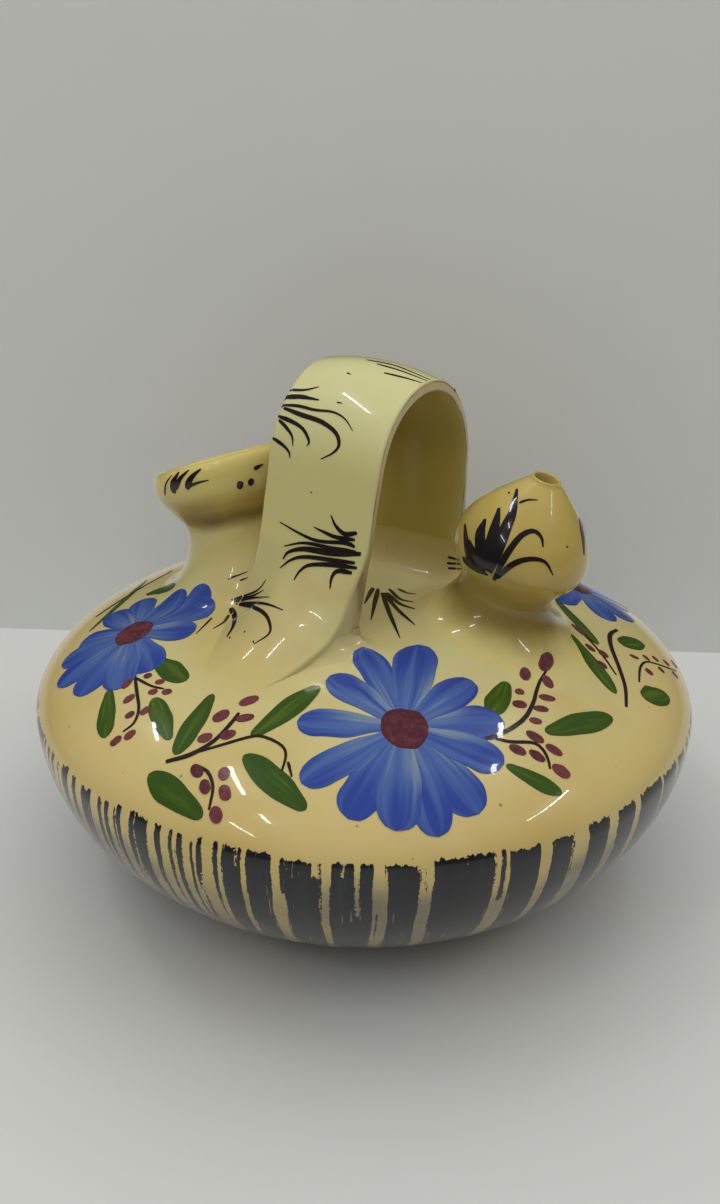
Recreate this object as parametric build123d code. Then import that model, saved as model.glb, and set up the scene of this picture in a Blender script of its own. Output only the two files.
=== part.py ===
from build123d import *
from math import acos, asin, cos, degrees, radians, sin, sqrt
import os

# A water jug with two openings, in millimetres. The origin is the middle of the foot, +Z is up, and the
# line from the filling mouth to the drinking spout runs along +X.

# Body: a wide bowl closed by a low dome, widest at the shoulder.
BODY_DIAMETER = 180.0
SHOULDER_HEIGHT = 50.0
FOOT_DIAMETER = 91.0
DOME_RISE = 26.0
CROWN_FLAT = 6.0
WALL = 5.0
FLOOR = 5.0
FOOT_RING_WIDTH = 9.0
FOOT_RECESS = 2.0

# Side of the body where the turned surfaces begin and end.
SEAM_ANGLE = 45.0

# Seam at the shoulder: the inner half of the bowl's rim stands up inside the dome's rim.
LAP_HEIGHT = 3.0

# Film of slip between luted faces, left as a gap.
SLIP = 0.2

# Filling mouth: a neck that opens to a rolled lip. Heights run along its axis from the dome's surface.
MOUTH_OFFSET = 36.0
MOUTH_TILT = 14.0
MOUTH_BORE = 20.0
MOUTH_NECK_DIAMETER = 31.0
MOUTH_NECK_HEIGHT = 17.0
THROAT_HEIGHT = 19.0
LIP_DIAMETER = 42.4
LIP_HEIGHT = 28.5
LIP_THICKNESS = 6.0
LIP_ROLL = 4.0

# Drinking spout: a hollow fig on a narrow neck, with the jet hole through its tip.
SPOUT_OFFSET = 37.0
SPOUT_TILT = 15.0
SPOUT_NECK_DIAMETER = 24.0
SPOUT_NECK_HEIGHT = 12.0
SPOUT_WALL = 4.5
BULB_DIAMETER = 34.4
BULB_HEIGHT = 22.8
SPOUT_HEIGHT = 43.0
TIP_DIAMETER = 8.8
JET_DIAMETER = 6.0
JET_LENGTH = 7.0

# Tenons: how far the mouth and the spout stand out under the dome's wall.
TENON_STANDOUT = 2.5

# Coils drawn out into flares round the mouth and the spout. The bend is the corner that the hollow curve
# rounds off, as shares of the flare's spread and height.
COIL_EDGE = 0.6
COIL_BEND_ACROSS = 0.1
COIL_BEND_UP = 0.4
MOUTH_COIL_HEIGHT = 16.0
MOUTH_COIL_SPREAD = 12.0
MOUTH_COIL_DROP = 4.0
SPOUT_COIL_HEIGHT = 12.5
SPOUT_COIL_SPREAD = 17.0
SPOUT_COIL_DROP = 4.5

# Strap handle: an arch across the dome. Its front leg leans, and the whole strap is turned and tipped.
STRAP_WIDTH = 32.0
STRAP_THICKNESS = 4.5
HANDLE_RISE = 59.5
ARCH_RADIUS = 25.0
ARCH_SHIFT = 2.7
FRONT_LEAN = 13.5
REAR_LEAN = 0.0
STRAP_TURN = -6.0
STRAP_TIP = 4.0

# Strap ends: each is smeared outwards into a tongue, with a roll of clay in the inner angle.
FLARE_HEIGHT = 28.0
TONGUE_REACH = 30.0
TONGUE_TAPER_START = 1.0
TONGUE_END_WIDTH = 9.0
ROOT_COIL_WIDTH = 26.0
ROOT_COIL_RISE = 9.0
ROOT_COIL_REACH = 9.0

FRONT = -1
REAR = 1

body_radius = BODY_DIAMETER / 2
foot_radius = FOOT_DIAMETER / 2
bowl_depth = SHOULDER_HEIGHT / sqrt(1 - (foot_radius / body_radius) ** 2)
crown_height = SHOULDER_HEIGHT + DOME_RISE
lap_radius = body_radius - WALL / 2
tenon = WALL + TENON_STANDOUT


# Body

def dome_height(radius):
    """Height of the dome's outer surface at a distance from the jug's axis."""
    return SHOULDER_HEIGHT + DOME_RISE * sqrt(1 - (radius / body_radius) ** 2)


def body_solid(grow, bottom):
    """The bowl and dome as one solid of two half ellipses, grown all round and cut flat at the bottom.

    The outline is turned away from the mouth, the spout and the strap, so no cut crosses the surface's seam.
    """
    centre = (0, SHOULDER_HEIGHT)
    radius = body_radius + grow
    depth = bowl_depth + grow
    rise = DOME_RISE + grow
    foot_angle = -degrees(asin((SHOULDER_HEIGHT - bottom) / depth))
    crown_angle = degrees(acos(CROWN_FLAT / 2 / radius))
    bowl_curve = EllipticalCenterArc(centre, radius, depth, foot_angle, arc_size=-foot_angle)
    dome_curve = EllipticalCenterArc(centre, radius, rise, 0, arc_size=crown_angle)
    crown = dome_curve @ 1
    foot = bowl_curve @ 0
    flats = Polyline((crown.X, crown.Y), (0, crown.Y), (0, bottom), (foot.X, bottom))
    outline = Rot(0, 0, SEAM_ANGLE) * (Plane.XZ * make_face(bowl_curve + dome_curve + flats))
    return revolve(outline, Axis.Z)


def column(radius, bottom, top):
    """A round column on the jug's axis."""
    upright = Cylinder(radius, top - bottom, align=(Align.CENTER, Align.CENTER, Align.MIN))
    return Pos(0, 0, bottom) * upright


def body_shell():
    recess = column(foot_radius - FOOT_RING_WIDTH, 0, FOOT_RECESS)
    return body_solid(0, 0) - body_solid(-WALL, FOOT_RECESS + FLOOR) - recess


def lower_bowl():
    lap = column(lap_radius - SLIP / 2, SHOULDER_HEIGHT, SHOULDER_HEIGHT + LAP_HEIGHT)
    return body_shell() & (column(BODY_DIAMETER, 0, SHOULDER_HEIGHT) + lap)


def upper_dome():
    lap_room = column(lap_radius + SLIP / 2, SHOULDER_HEIGHT, SHOULDER_HEIGHT + LAP_HEIGHT + SLIP)
    dome = body_shell() - (column(BODY_DIAMETER, 0, SHOULDER_HEIGHT) + lap_room)
    mouth_socket = Cylinder(MOUTH_NECK_DIAMETER / 2 + SLIP, 2 * DOME_RISE)
    spout_socket = Cylinder(SPOUT_NECK_DIAMETER / 2 + SLIP, 2 * DOME_RISE)
    return dome - mouth_plane * mouth_socket - spout_plane * spout_socket


# Mouth and spout

def tilted_plane(offset, tilt):
    """A plane on the dome's surface at an offset along X, with its normal leaning outwards along X."""
    lean = radians(tilt)
    origin = (offset, 0, dome_height(abs(offset)))
    return Plane(origin, x_dir=(cos(lean), 0, -sin(lean)), z_dir=(sin(lean), 0, cos(lean)))


mouth_plane = tilted_plane(-MOUTH_OFFSET, -MOUTH_TILT)
spout_plane = tilted_plane(SPOUT_OFFSET, SPOUT_TILT)


def turned(outline):
    """A solid turned from an outline of radius and height."""
    return revolve(Plane.XZ * make_face(outline), Axis.Z)


def filling_mouth():
    bore = MOUTH_BORE / 2
    neck = MOUTH_NECK_DIAMETER / 2
    lip = LIP_DIAMETER / 2
    lip_inside = lip - LIP_THICKNESS
    wall = Polyline((bore, THROAT_HEIGHT), (bore, -tenon), (neck, -tenon), (neck, MOUTH_NECK_HEIGHT))
    flare = Spline((neck, MOUTH_NECK_HEIGHT), (lip, LIP_HEIGHT), tangents=[(0, 1), (0, 1)])
    roll_centre = (lip - LIP_THICKNESS / 2, LIP_HEIGHT)
    roll = EllipticalCenterArc(roll_centre, LIP_THICKNESS / 2, LIP_ROLL, 0, arc_size=180)
    funnel = Spline((lip_inside, LIP_HEIGHT), (bore, THROAT_HEIGHT), tangents=[(0, -1), (0, -1)])
    return mouth_plane * turned(wall + flare + roll + funnel)


def drinking_spout():
    jet = JET_DIAMETER / 2
    tip = TIP_DIAMETER / 2
    neck = SPOUT_NECK_DIAMETER / 2
    bulb = BULB_DIAMETER / 2
    throat = neck - SPOUT_WALL
    jet_foot = SPOUT_HEIGHT - JET_LENGTH
    neck_top = SPOUT_NECK_HEIGHT
    neck_wall = Polyline((throat, neck_top), (throat, -tenon), (neck, -tenon), (neck, neck_top))
    fig = Spline(
        (neck, neck_top), (bulb, BULB_HEIGHT), (tip, SPOUT_HEIGHT),
        tangents=[(0, 1), (0, 1), (-1, 1)],
    )
    jet_wall = Polyline((tip, SPOUT_HEIGHT), (jet, SPOUT_HEIGHT), (jet, jet_foot))
    hollow = Spline(
        (jet, jet_foot), (bulb - SPOUT_WALL, BULB_HEIGHT), (throat, neck_top),
        tangents=[(1, -1), (0, -1), (0, -1)],
    )
    return spout_plane * turned(neck_wall + fig + jet_wall + hollow)


def flare_coil(plane, neck_diameter, height, spread, drop):
    """A ring of clay round a neck, hollow-curved outside, seated on the dome."""
    inside = neck_diameter / 2 + SLIP
    top = inside + COIL_EDGE
    foot = inside + spread
    bend = (top + COIL_BEND_ACROSS * spread, COIL_BEND_UP * height)
    hollow_curve = Bezier((top, height), bend, (foot, -drop))
    rest = Polyline((foot, -drop), (foot, -DOME_RISE), (inside, -DOME_RISE), (inside, height), (top, height))
    return plane * turned(hollow_curve + rest) - body_solid(SLIP, 0) - leg_room(FRONT) - leg_room(REAR)


def mouth_coil():
    return flare_coil(mouth_plane, MOUTH_NECK_DIAMETER, MOUTH_COIL_HEIGHT, MOUTH_COIL_SPREAD, MOUTH_COIL_DROP)


def spout_coil():
    return flare_coil(spout_plane, SPOUT_NECK_DIAMETER, SPOUT_COIL_HEIGHT, SPOUT_COIL_SPREAD, SPOUT_COIL_DROP)


# Strap handle, drawn across the dome in Y and Z

class Leg:
    """One leg of the strap: the straight line of a face of it, from the arch down to the dome."""

    def __init__(self, side, lean, radius):
        angle = radians(lean)
        arch_height = crown_height + HANDLE_RISE - ARCH_RADIUS
        self.side = side
        self.down = Vector(side * sin(angle), -cos(angle))
        self.top = Vector(ARCH_SHIFT + side * radius * cos(angle), arch_height + radius * sin(angle))
        self.foot = self.on_dome()

    def on_dome(self):
        """Where the line meets the dome: the nearer root of a quadratic along the line."""
        across = self.top.X / body_radius
        along = (self.top.Y - SHOULDER_HEIGHT) / DOME_RISE
        step_across = self.down.X / body_radius
        step_along = self.down.Y / DOME_RISE
        a = step_across ** 2 + step_along ** 2
        b = across * step_across + along * step_along
        c = across ** 2 + along ** 2 - 1
        return self.top + self.down * ((-b - sqrt(b * b - a * c)) / a)

    def above_foot(self, height):
        return self.foot - self.down * height

    def at_shoulder(self):
        """The line carried on inside the dome to the height of the shoulder."""
        return self.foot + self.down * ((self.foot.Y - SHOULDER_HEIGHT) / -self.down.Y)

    def beside_foot(self, reach):
        """A point of the dome at a distance from the foot, outwards if the reach is positive."""
        place = self.foot.X + self.side * reach
        return Vector(place, dome_height(abs(place)))


LEANS = {FRONT: FRONT_LEAN, REAR: REAR_LEAN}
outer_legs = {side: Leg(side, LEANS[side], ARCH_RADIUS) for side in LEANS}
inner_legs = {side: Leg(side, LEANS[side], ARCH_RADIUS - STRAP_THICKNESS) for side in LEANS}


def strap_end(side):
    """The edges of one strap end: the outer face, the smeared tongue, the cut inside and the inner face."""
    outer = outer_legs[side]
    inner = inner_legs[side]
    flare_top = outer.above_foot(FLARE_HEIGHT)
    tongue_end = outer.beside_foot(TONGUE_REACH)
    tongue = Bezier(flare_top, outer.foot, tongue_end)
    inside = Polyline(tongue_end, (tongue_end.X, SHOULDER_HEIGHT), inner.at_shoulder(), inner.top)
    return Line(outer.top, flare_top) + tongue + inside


def arch(legs, radius):
    centre = Vector(ARCH_SHIFT, crown_height + HANDLE_RISE - ARCH_RADIUS)
    return ThreePointArc(legs[FRONT].top, centre + Vector(0, radius), legs[REAR].top)


def strap_plan():
    """The strap seen from above: straight sides that taper along the tongues."""
    half = STRAP_WIDTH / 2
    half_end = TONGUE_END_WIDTH / 2
    taper = {side: outer_legs[side].foot.X + side * TONGUE_TAPER_START for side in LEANS}
    end = {side: outer_legs[side].foot.X + side * TONGUE_REACH for side in LEANS}
    right = [(half_end, end[FRONT]), (half, taper[FRONT]), (half, taper[REAR]), (half_end, end[REAR])]
    left = [(-x, y) for x, y in reversed(right)]
    return extrude(Polygon(*right, *left, align=None), crown_height + 2 * HANDLE_RISE)


def across_strap(profile, width):
    """A profile in Y and Z pushed along X, both ways from the middle, tipped down towards +X."""
    slope = radians(STRAP_TIP)
    start = Pos(-width / 2, 0, width / 2 * sin(slope) / cos(slope)) * (Plane.YZ * make_face(profile))
    return extrude(start, width / cos(slope), dir=(cos(slope), 0, -sin(slope)))


def leg_room(side):
    """The space of one strap leg, outwards from its inner face, with a film of slip round it."""
    low = inner_legs[side].at_shoulder() - Vector(side * SLIP, 0)
    high = inner_legs[side].top - Vector(side * SLIP, 0)
    far = side * body_radius
    outline = Polyline(low, high, (far, high.Y), (far, low.Y), close=True)
    return Rot(0, 0, STRAP_TURN) * across_strap(outline, STRAP_WIDTH + 2 * SLIP)


def handle_strap():
    outline = arch(outer_legs, ARCH_RADIUS) + arch(inner_legs, ARCH_RADIUS - STRAP_THICKNESS)
    profile = outline + strap_end(FRONT) + strap_end(REAR)
    strap = across_strap(profile, STRAP_WIDTH) & strap_plan()
    return Rot(0, 0, STRAP_TURN) * strap - body_solid(SLIP, 0)


def root_coil(side):
    """A roll of clay in the angle between the strap's inner face and the dome."""
    leg = inner_legs[side]
    roll_top = leg.above_foot(ROOT_COIL_RISE)
    roll_end = leg.beside_foot(-ROOT_COIL_REACH)
    hollow_curve = Bezier(roll_top, leg.foot, roll_end)
    rest = Polyline(roll_end, (roll_end.X, SHOULDER_HEIGHT), leg.at_shoulder(), roll_top)
    roll = Rot(0, 0, STRAP_TURN) * across_strap(hollow_curve + rest, ROOT_COIL_WIDTH)
    mouth_room = mouth_plane * Cylinder(MOUTH_NECK_DIAMETER / 2 + MOUTH_COIL_SPREAD + 2 * SLIP, HANDLE_RISE)
    spout_room = spout_plane * Cylinder(SPOUT_NECK_DIAMETER / 2 + SPOUT_COIL_SPREAD + 2 * SLIP, HANDLE_RISE)
    return roll - body_solid(SLIP, 0) - mouth_room - spout_room


nodes = {
    "lower_bowl": lower_bowl(),
    "upper_dome": upper_dome(),
    "filling_mouth": filling_mouth(),
    "mouth_coil": mouth_coil(),
    "drinking_spout": drinking_spout(),
    "spout_coil": spout_coil(),
    "handle_strap": handle_strap(),
    "front_root_coil": root_coil(FRONT),
    "rear_root_coil": root_coil(REAR),
}

os.makedirs("parts", exist_ok=True)
for name, piece in nodes.items():
    export_step(piece, f"parts/{name}.step")
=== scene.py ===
"""A hand-painted water jug in cream glaze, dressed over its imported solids."""

import math
import random

import bmesh
import bpy
from bpy.props import FloatProperty, FloatVectorProperty, IntProperty, PointerProperty
from bpy.types import Operator, Panel, PropertyGroup
from mathutils import Matrix, Vector, noise
from mathutils.bvhtree import BVHTree


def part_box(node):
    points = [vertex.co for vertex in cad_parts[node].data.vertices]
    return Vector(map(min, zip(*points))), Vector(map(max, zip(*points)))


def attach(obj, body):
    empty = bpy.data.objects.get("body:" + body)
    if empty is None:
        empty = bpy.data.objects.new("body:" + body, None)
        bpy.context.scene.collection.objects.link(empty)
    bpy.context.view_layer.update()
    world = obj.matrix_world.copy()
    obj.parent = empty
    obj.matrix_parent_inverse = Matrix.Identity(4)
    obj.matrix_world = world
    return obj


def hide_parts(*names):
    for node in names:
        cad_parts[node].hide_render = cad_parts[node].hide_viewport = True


bl_info = {
    "name": "Painted water jug",
    "version": (1, 0, 0),
    "blender": (4, 5, 0),
    "location": "View3D > Sidebar > Jug",
    "description": "Makes the glazed and painted pieces of a botijo over its packed solids",
    "category": "Add Mesh",
}

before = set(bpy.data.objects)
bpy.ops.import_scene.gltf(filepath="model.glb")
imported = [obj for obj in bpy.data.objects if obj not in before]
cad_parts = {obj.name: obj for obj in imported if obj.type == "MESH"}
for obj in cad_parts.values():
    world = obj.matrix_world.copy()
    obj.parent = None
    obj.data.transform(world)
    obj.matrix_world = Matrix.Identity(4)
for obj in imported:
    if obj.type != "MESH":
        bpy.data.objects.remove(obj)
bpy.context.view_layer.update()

MM = 0.001
FULL_TURN = 2 * math.pi
LEFT = -1
RIGHT = 1
FRONT = -1
REAR = 1
UP = Vector((0, 0, 1))


# Sizes and colours that a user would change

def length(name, description, default):
    """A length in metres."""
    return FloatProperty(
        name=name, description=description, default=default, min=0, precision=5, unit="LENGTH",
    )


def angle(name, description, default):
    """An angle, given in degrees."""
    return FloatProperty(name=name, description=description, default=math.radians(default), subtype="ANGLE")


def colour(name, description, default):
    """A colour in linear red, green and blue."""
    return FloatVectorProperty(
        name=name, description=description, default=default, min=0, max=1, subtype="COLOR",
    )


class BodySizes(PropertyGroup):
    """The bowl and the dome that closes it."""

    radius: length("Radius", "Radius of the body at its shoulder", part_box("lower_bowl")[1].x)
    shoulder: length("Shoulder", "Height of the shoulder above the table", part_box("upper_dome")[0].z)
    rise: length("Rise", "Height of the crown above the shoulder", 26 * MM)
    foot: length("Foot", "Radius of the foot", 45.5 * MM)
    foot_ring: length("Foot ring", "Width of the ring that the jug stands on", 9 * MM)
    foot_recess: length("Foot recess", "Depth of the hollow inside the foot ring", 2 * MM)
    wall: length("Wall", "Thickness of the wall", 5 * MM)
    around: IntProperty(name="Steps around", description="Faces round the body", default=960, min=48)


class MouthSizes(PropertyGroup):
    """The filling mouth, measured along its leaning axis."""

    offset: length("Offset", "Distance of the mouth from the jug's axis", 36 * MM)
    tilt: angle("Tilt", "How far the mouth leans outwards", 14)
    bore: length("Bore", "Radius of the throat", 10 * MM)
    neck: length("Neck", "Radius of the neck", 15.5 * MM)
    neck_height: length("Neck height", "Where the neck starts to open", 17 * MM)
    throat_height: length("Throat height", "Where the funnel meets the throat", 19 * MM)
    lip: length("Lip", "Outer radius of the lip", 21.2 * MM)
    lip_height: length("Lip height", "Height at which the lip is widest", 28.5 * MM)
    lip_thickness: length("Lip thickness", "Thickness of the rolled lip", 6 * MM)
    lip_roll: length("Lip roll", "How far the lip rolls up above its widest line", 4 * MM)
    lip_slant: length("Lip slant", "How much higher the lip stands at the front than at the back", 5.3 * MM)
    flare_height: length("Flare height", "How far the flare climbs the neck", 16 * MM)
    flare_spread: length("Flare spread", "How far the flare spreads over the dome", 14 * MM)


class SpoutSizes(PropertyGroup):
    """The drinking spout, measured along its leaning axis."""

    offset: length("Offset", "Distance of the spout from the jug's axis", 37 * MM)
    tilt: angle("Tilt", "How far the spout leans outwards", 15)
    neck: length("Neck", "Radius of the neck under the fig", 12 * MM)
    neck_height: length("Neck height", "Where the fig starts to swell", 12 * MM)
    wall: length("Wall", "Thickness of the fig's wall", 4.5 * MM)
    bulb: length("Bulb", "Radius of the fig where it is fullest", 17.2 * MM)
    bulb_height: length("Bulb height", "Height at which the fig is fullest", 22.8 * MM)
    height: length("Height", "Height of the tip", 43 * MM)
    tip: length("Tip", "Radius of the tip", 3.8 * MM)
    jet: length("Jet", "Radius of the jet hole", 3 * MM)
    jet_length: length("Jet length", "Depth of the jet hole", 7 * MM)
    flare_height: length("Flare height", "How far the flare climbs the neck", 12.5 * MM)
    flare_spread: length("Flare spread", "How far the flare spreads over the dome", 18 * MM)


class StrapSizes(PropertyGroup):
    """The strap handle across the dome."""

    width: length("Width", "Width of the strap", 32 * MM)
    thickness: length("Thickness", "Thickness of the strap", 4.5 * MM)
    rise: length("Rise", "Height of the strap's top above the crown", 59.5 * MM)
    arch: length("Arch", "Outer radius of the arch", 25 * MM)
    shift: length("Shift", "How far the arch stands behind the jug's axis", 2.7 * MM)
    front_lean: angle("Front lean", "How far the front leg leans out", 13.5)
    rear_lean: angle("Rear lean", "How far the rear leg leans out", 0)
    turn: angle("Turn", "Turn of the strap about the jug's axis", -6)
    tip: angle("Tip", "Fall of the strap towards the spout", 4)
    edge: length("Edge", "Radius of the strap's worn edges", 1.0 * MM)
    flare_height: length("Flare height", "Height at which a leg starts to spread", 28 * MM)
    tongue_reach: length("Tongue reach", "How far a smeared tongue runs out over the dome", 30 * MM)
    tongue_end: length("Tongue end", "Half width of a tongue at its end", 4.5 * MM)
    smear: length("Smear", "How much wider a tongue gets on a side that is smeared out", 9 * MM)
    thinning: FloatProperty(
        name="Thinning", description="Share of the thickness lost at the edges", default=0.49, min=0, max=1,
        subtype="FACTOR",
    )
    hump: length("Hump", "How much the arch's middle stands up over its circle", 2.6 * MM)
    crown: length("Crown", "How much lower the edges lie than the middle, on the arch", 2.0 * MM)
    front_rise: length("Front root rise", "How far the inner root climbs the front leg", 5 * MM)
    rear_rise: length("Rear root rise", "How far the inner root climbs the rear leg", 12.5 * MM)
    front_run: length("Front root run", "How far the front leg's inner root runs over the dome", 4.5 * MM)
    rear_run: length("Rear root run", "How far the rear leg's inner root runs over the dome", 6.5 * MM)


class PaintSizes(PropertyGroup):
    """The painted ornament."""

    lift: length("Lift", "How far the paint stands on the glaze", 0.1 * MM)
    depth: length("Depth", "Thickness of a stroke, most of it sunk in the glaze", 0.35 * MM)
    bar_top: length("Bar top", "Height to which the brushed bars reach over the shoulder", 53.4 * MM)
    seed: IntProperty(name="Seed", description="Picks the chance variation of the strokes", default=7)


class GlazeColours(PropertyGroup):
    """The glaze, the paints, and the painted shade and light, in linear colours."""

    cream: colour("Cream", "Glaze round the shoulder", (0.64, 0.50, 0.20))
    crown: colour("Crown", "Glaze on the upper dome", (0.60, 0.55, 0.26))
    straw: colour("Straw", "Deeper patches of the glaze", (0.57, 0.42, 0.135))
    # Painted shade: the bowl below the shoulder, between the bars, is darkened as if in shade
    bowl_shade: colour("Dull", "Glaze between the bars, low on the bowl", (0.24, 0.205, 0.135))
    ochre: colour("Ochre", "Glaze on the lip and the spout", (0.44, 0.322, 0.075))
    lemon: colour("Lemon", "Glaze along the top of the lip", (0.70, 0.58, 0.19))
    # Painted shadow in the hollows under the mouth's lip and under the spout's fig
    hollow_shadow: colour("Honey", "Glaze pooled in hollows", (0.24, 0.168, 0.036))
    pale: colour("Pale", "Glaze on the strap", (0.58, 0.53, 0.225))
    # Painted shade on the underside of the strap and in the angles at its feet
    underside_shade: colour("Olive", "Glaze on the underside of the strap", (0.43, 0.335, 0.065))
    blush: colour("Blush", "Warmer glaze low on the strap's legs", (0.55, 0.43, 0.19))
    # Painted light: the top of the strap is made paler where light falls on it from above
    strap_top_light: colour("Chalk", "Paler glaze along the top of the strap", (0.68, 0.66, 0.34))
    clay: colour("Clay", "Thin glaze low on the strap's sides", (0.33, 0.25, 0.10))
    beige: colour("Beige", "Thin glaze along the strap's sides", (0.52, 0.42, 0.20))
    worn: colour("Worn", "Clay that shows through along edges", (0.26, 0.16, 0.075))
    bar: colour("Bar", "Brushed bars round the bowl", (0.012, 0.013, 0.015))
    bar_thin: colour("Thin bar", "Brushed bars where the paint is thin", (0.027, 0.031, 0.037))
    petal: colour("Petal", "Petals where the paint is thick", (0.026, 0.058, 0.30))
    petal_thin: colour("Thin petal", "Petals where the paint is thin", (0.065, 0.125, 0.36))
    petal_dry: colour("Dry petal", "Petals where the brush ran dry", (0.21, 0.28, 0.34))
    heart: colour("Heart", "Hearts of the flowers", (0.075, 0.018, 0.027))
    berry: colour("Berry", "Berries", (0.17, 0.040, 0.050))
    leaf: colour("Leaf", "Leaves where the paint is thick", (0.034, 0.080, 0.008))
    leaf_thin: colour("Thin leaf", "Leaves where the paint is thin", (0.10, 0.155, 0.018))
    stem: colour("Stem", "Stems", (0.020, 0.012, 0.011))
    ink: colour("Ink", "Tufts of grass", (0.013, 0.010, 0.011))


class StageColours(PropertyGroup):
    """The table and the wall behind it."""

    table: colour("Table", "Table top", (0.66, 0.67, 0.655))
    wall: colour("Wall", "Wall behind the table", (0.73, 0.75, 0.73))


# Curves

def smooth_step(low, high, value):
    """A soft step from 0 at low to 1 at high."""
    share = min(max((value - low) / (high - low), 0.0), 1.0)
    return share * share * (3 - 2 * share)


def blend(one, other, share):
    return one + (other - one) * share


def hermite(start, start_way, end, end_way, share):
    """A point on the curve that leaves start along start_way and comes to end along end_way."""
    rest = 1 - share
    near = rest * rest * (1 + 2 * share)
    far = share * share * (3 - 2 * share)
    return near * start + rest * rest * share * start_way + far * end - share * share * rest * end_way


def bezier(start, corner, end, share):
    rest = 1 - share
    return rest * rest * start + 2 * rest * share * corner + share * share * end


def through(points, share):
    """A point on the smooth curve through a few points."""
    place = share * (len(points) - 1)
    index = min(int(place), len(points) - 2)
    start = points[index]
    end = points[index + 1]
    before = points[index - 1] if index > 0 else 2 * start - end
    after = points[index + 2] if index + 2 < len(points) else 2 * end - start
    return hermite(start, (end - before) / 2, end, (after - start) / 2, place - index)


def steps(count):
    """Even shares from 0 to 1."""
    return [number / count for number in range(count + 1)]


def quarter(centre, across, up, start, end, count):
    """Points of an ellipse's arc between two angles in degrees."""
    points = []
    for share in steps(count):
        turn = math.radians(blend(start, end, share))
        points.append((centre[0] + across * math.cos(turn), centre[1] + up * math.sin(turn)))
    return points


def swept(start, start_way, end, end_way, count):
    """Points of a Hermite curve in radius and height, with the chord's length behind each way."""
    one = Vector(start)
    other = Vector(end)
    reach = (other - one).length
    ways = [Vector(way).normalized() * reach for way in (start_way, end_way)]
    return [tuple(hermite(one, ways[0], other, ways[1], share)) for share in steps(count)]


class Outline:
    """The body's outline: an ellipse up to the shoulder and a flatter one above it."""

    def __init__(self, scene):
        sizes = scene.jug_body
        self.radius = sizes.radius
        self.shoulder = sizes.shoulder
        self.rise = sizes.rise
        self.wall = sizes.wall
        self.depth = sizes.shoulder / math.sqrt(1 - (sizes.foot / sizes.radius) ** 2)

    def dome(self, distance):
        """Height of the dome at a distance from the axis."""
        return self.shoulder + self.rise * math.sqrt(max(1 - (distance / self.radius) ** 2, 0))

    def dome_slope(self, distance):
        """Fall of the dome outwards, as height over distance."""
        share = distance / self.radius
        return -self.rise / self.radius * share / math.sqrt(max(1 - share * share, 1e-4))

    def neck_place(self, offset, tilt):
        """The place of a neck on the dome, leaning outwards along X."""
        return Matrix.Translation((offset, 0, self.dome(abs(offset)))) @ Matrix.Rotation(tilt, 4, "Y")

    def mouth_place(self, scene):
        return self.neck_place(-scene.jug_mouth.offset, -scene.jug_mouth.tilt)

    def spout_place(self, scene):
        return self.neck_place(scene.jug_spout.offset, scene.jug_spout.tilt)


# Meshes

SPUN_SECTORS = 24
MERGE_DISTANCE = 0.001 * MM


def turned(outline, around, place):
    """A solid turned from a closed or axis-to-axis chain of radius and height, then put in its place.

    One sector is spun and then copied round, which is quicker than one long spin.
    """
    bm = bmesh.new()
    chain = [bm.verts.new((distance, 0, height)) for distance, height in outline]
    edges = [bm.edges.new(pair) for pair in zip(chain, chain[1:])]
    if outline[0][0] > 0:
        edges.append(bm.edges.new((chain[-1], chain[0])))
    bmesh.ops.spin(
        bm, geom=chain + edges, cent=(0, 0, 0), axis=(0, 0, 1), dvec=(0, 0, 0),
        angle=FULL_TURN / SPUN_SECTORS, steps=around // SPUN_SECTORS,
    )
    bmesh.ops.spin(
        bm, geom=bm.verts[:] + bm.edges[:] + bm.faces[:], cent=(0, 0, 0), axis=(0, 0, 1), dvec=(0, 0, 0),
        angle=FULL_TURN * (1 - 1 / SPUN_SECTORS), steps=SPUN_SECTORS - 1, use_duplicate=True,
    )
    bmesh.ops.remove_doubles(bm, verts=bm.verts[:], dist=MERGE_DISTANCE)
    bmesh.ops.transform(bm, matrix=place, verts=bm.verts[:])
    bmesh.ops.recalc_face_normals(bm, faces=bm.faces[:])
    return bm


def skinned(rings, closed):
    """A skin drawn over rings of points, by extruding the first ring through the others."""
    bm = bmesh.new()
    ring = bmesh.ops.create_circle(bm, segments=len(rings[0]), radius=1)["verts"]
    edges = bm.edges[:]
    first = edges
    place_ring(ring, rings[0])
    for points in rings[1:]:
        made = bmesh.ops.extrude_edge_only(bm, edges=edges)["geom"]
        fresh = {item for item in made if isinstance(item, bmesh.types.BMVert)}
        ring = [grown_from(vert, fresh) for vert in ring]
        edges = [item for item in made if isinstance(item, bmesh.types.BMEdge)]
        edges = [edge for edge in edges if fresh.issuperset(edge.verts)]
        place_ring(ring, points)
    if closed:
        bmesh.ops.bridge_loops(bm, edges=first + edges)
    else:
        bmesh.ops.holes_fill(bm, edges=first + edges, sides=0)
    bmesh.ops.recalc_face_normals(bm, faces=bm.faces[:])
    return bm


def grown_from(vert, fresh):
    """The vertex that an extrusion drew out of this one."""
    return next(edge.other_vert(vert) for edge in vert.link_edges if edge.other_vert(vert) in fresh)


def place_ring(ring, points):
    for vert, point in zip(ring, points):
        vert.co = point


def thickened(bm, depth, ways):
    """Closes an open sheet into a thin solid, with its other side at a depth along each vertex's way."""
    made = bmesh.ops.extrude_face_region(bm, geom=bm.faces[:], use_keep_orig=True)["geom"]
    for vert in made:
        if isinstance(vert, bmesh.types.BMVert):
            vert.co += vert[ways] * depth
    bm.verts.layers.float_vector.remove(ways)
    bmesh.ops.recalc_face_normals(bm, faces=bm.faces[:])
    if bm.calc_volume(signed=True) < 0:
        bmesh.ops.reverse_faces(bm, faces=bm.faces[:])


def crease(bm, degrees):
    """Marks the edges that stay sharp under smooth shading."""
    for edge in bm.edges:
        edge.smooth = edge.calc_face_angle(0) < math.radians(degrees)


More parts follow.
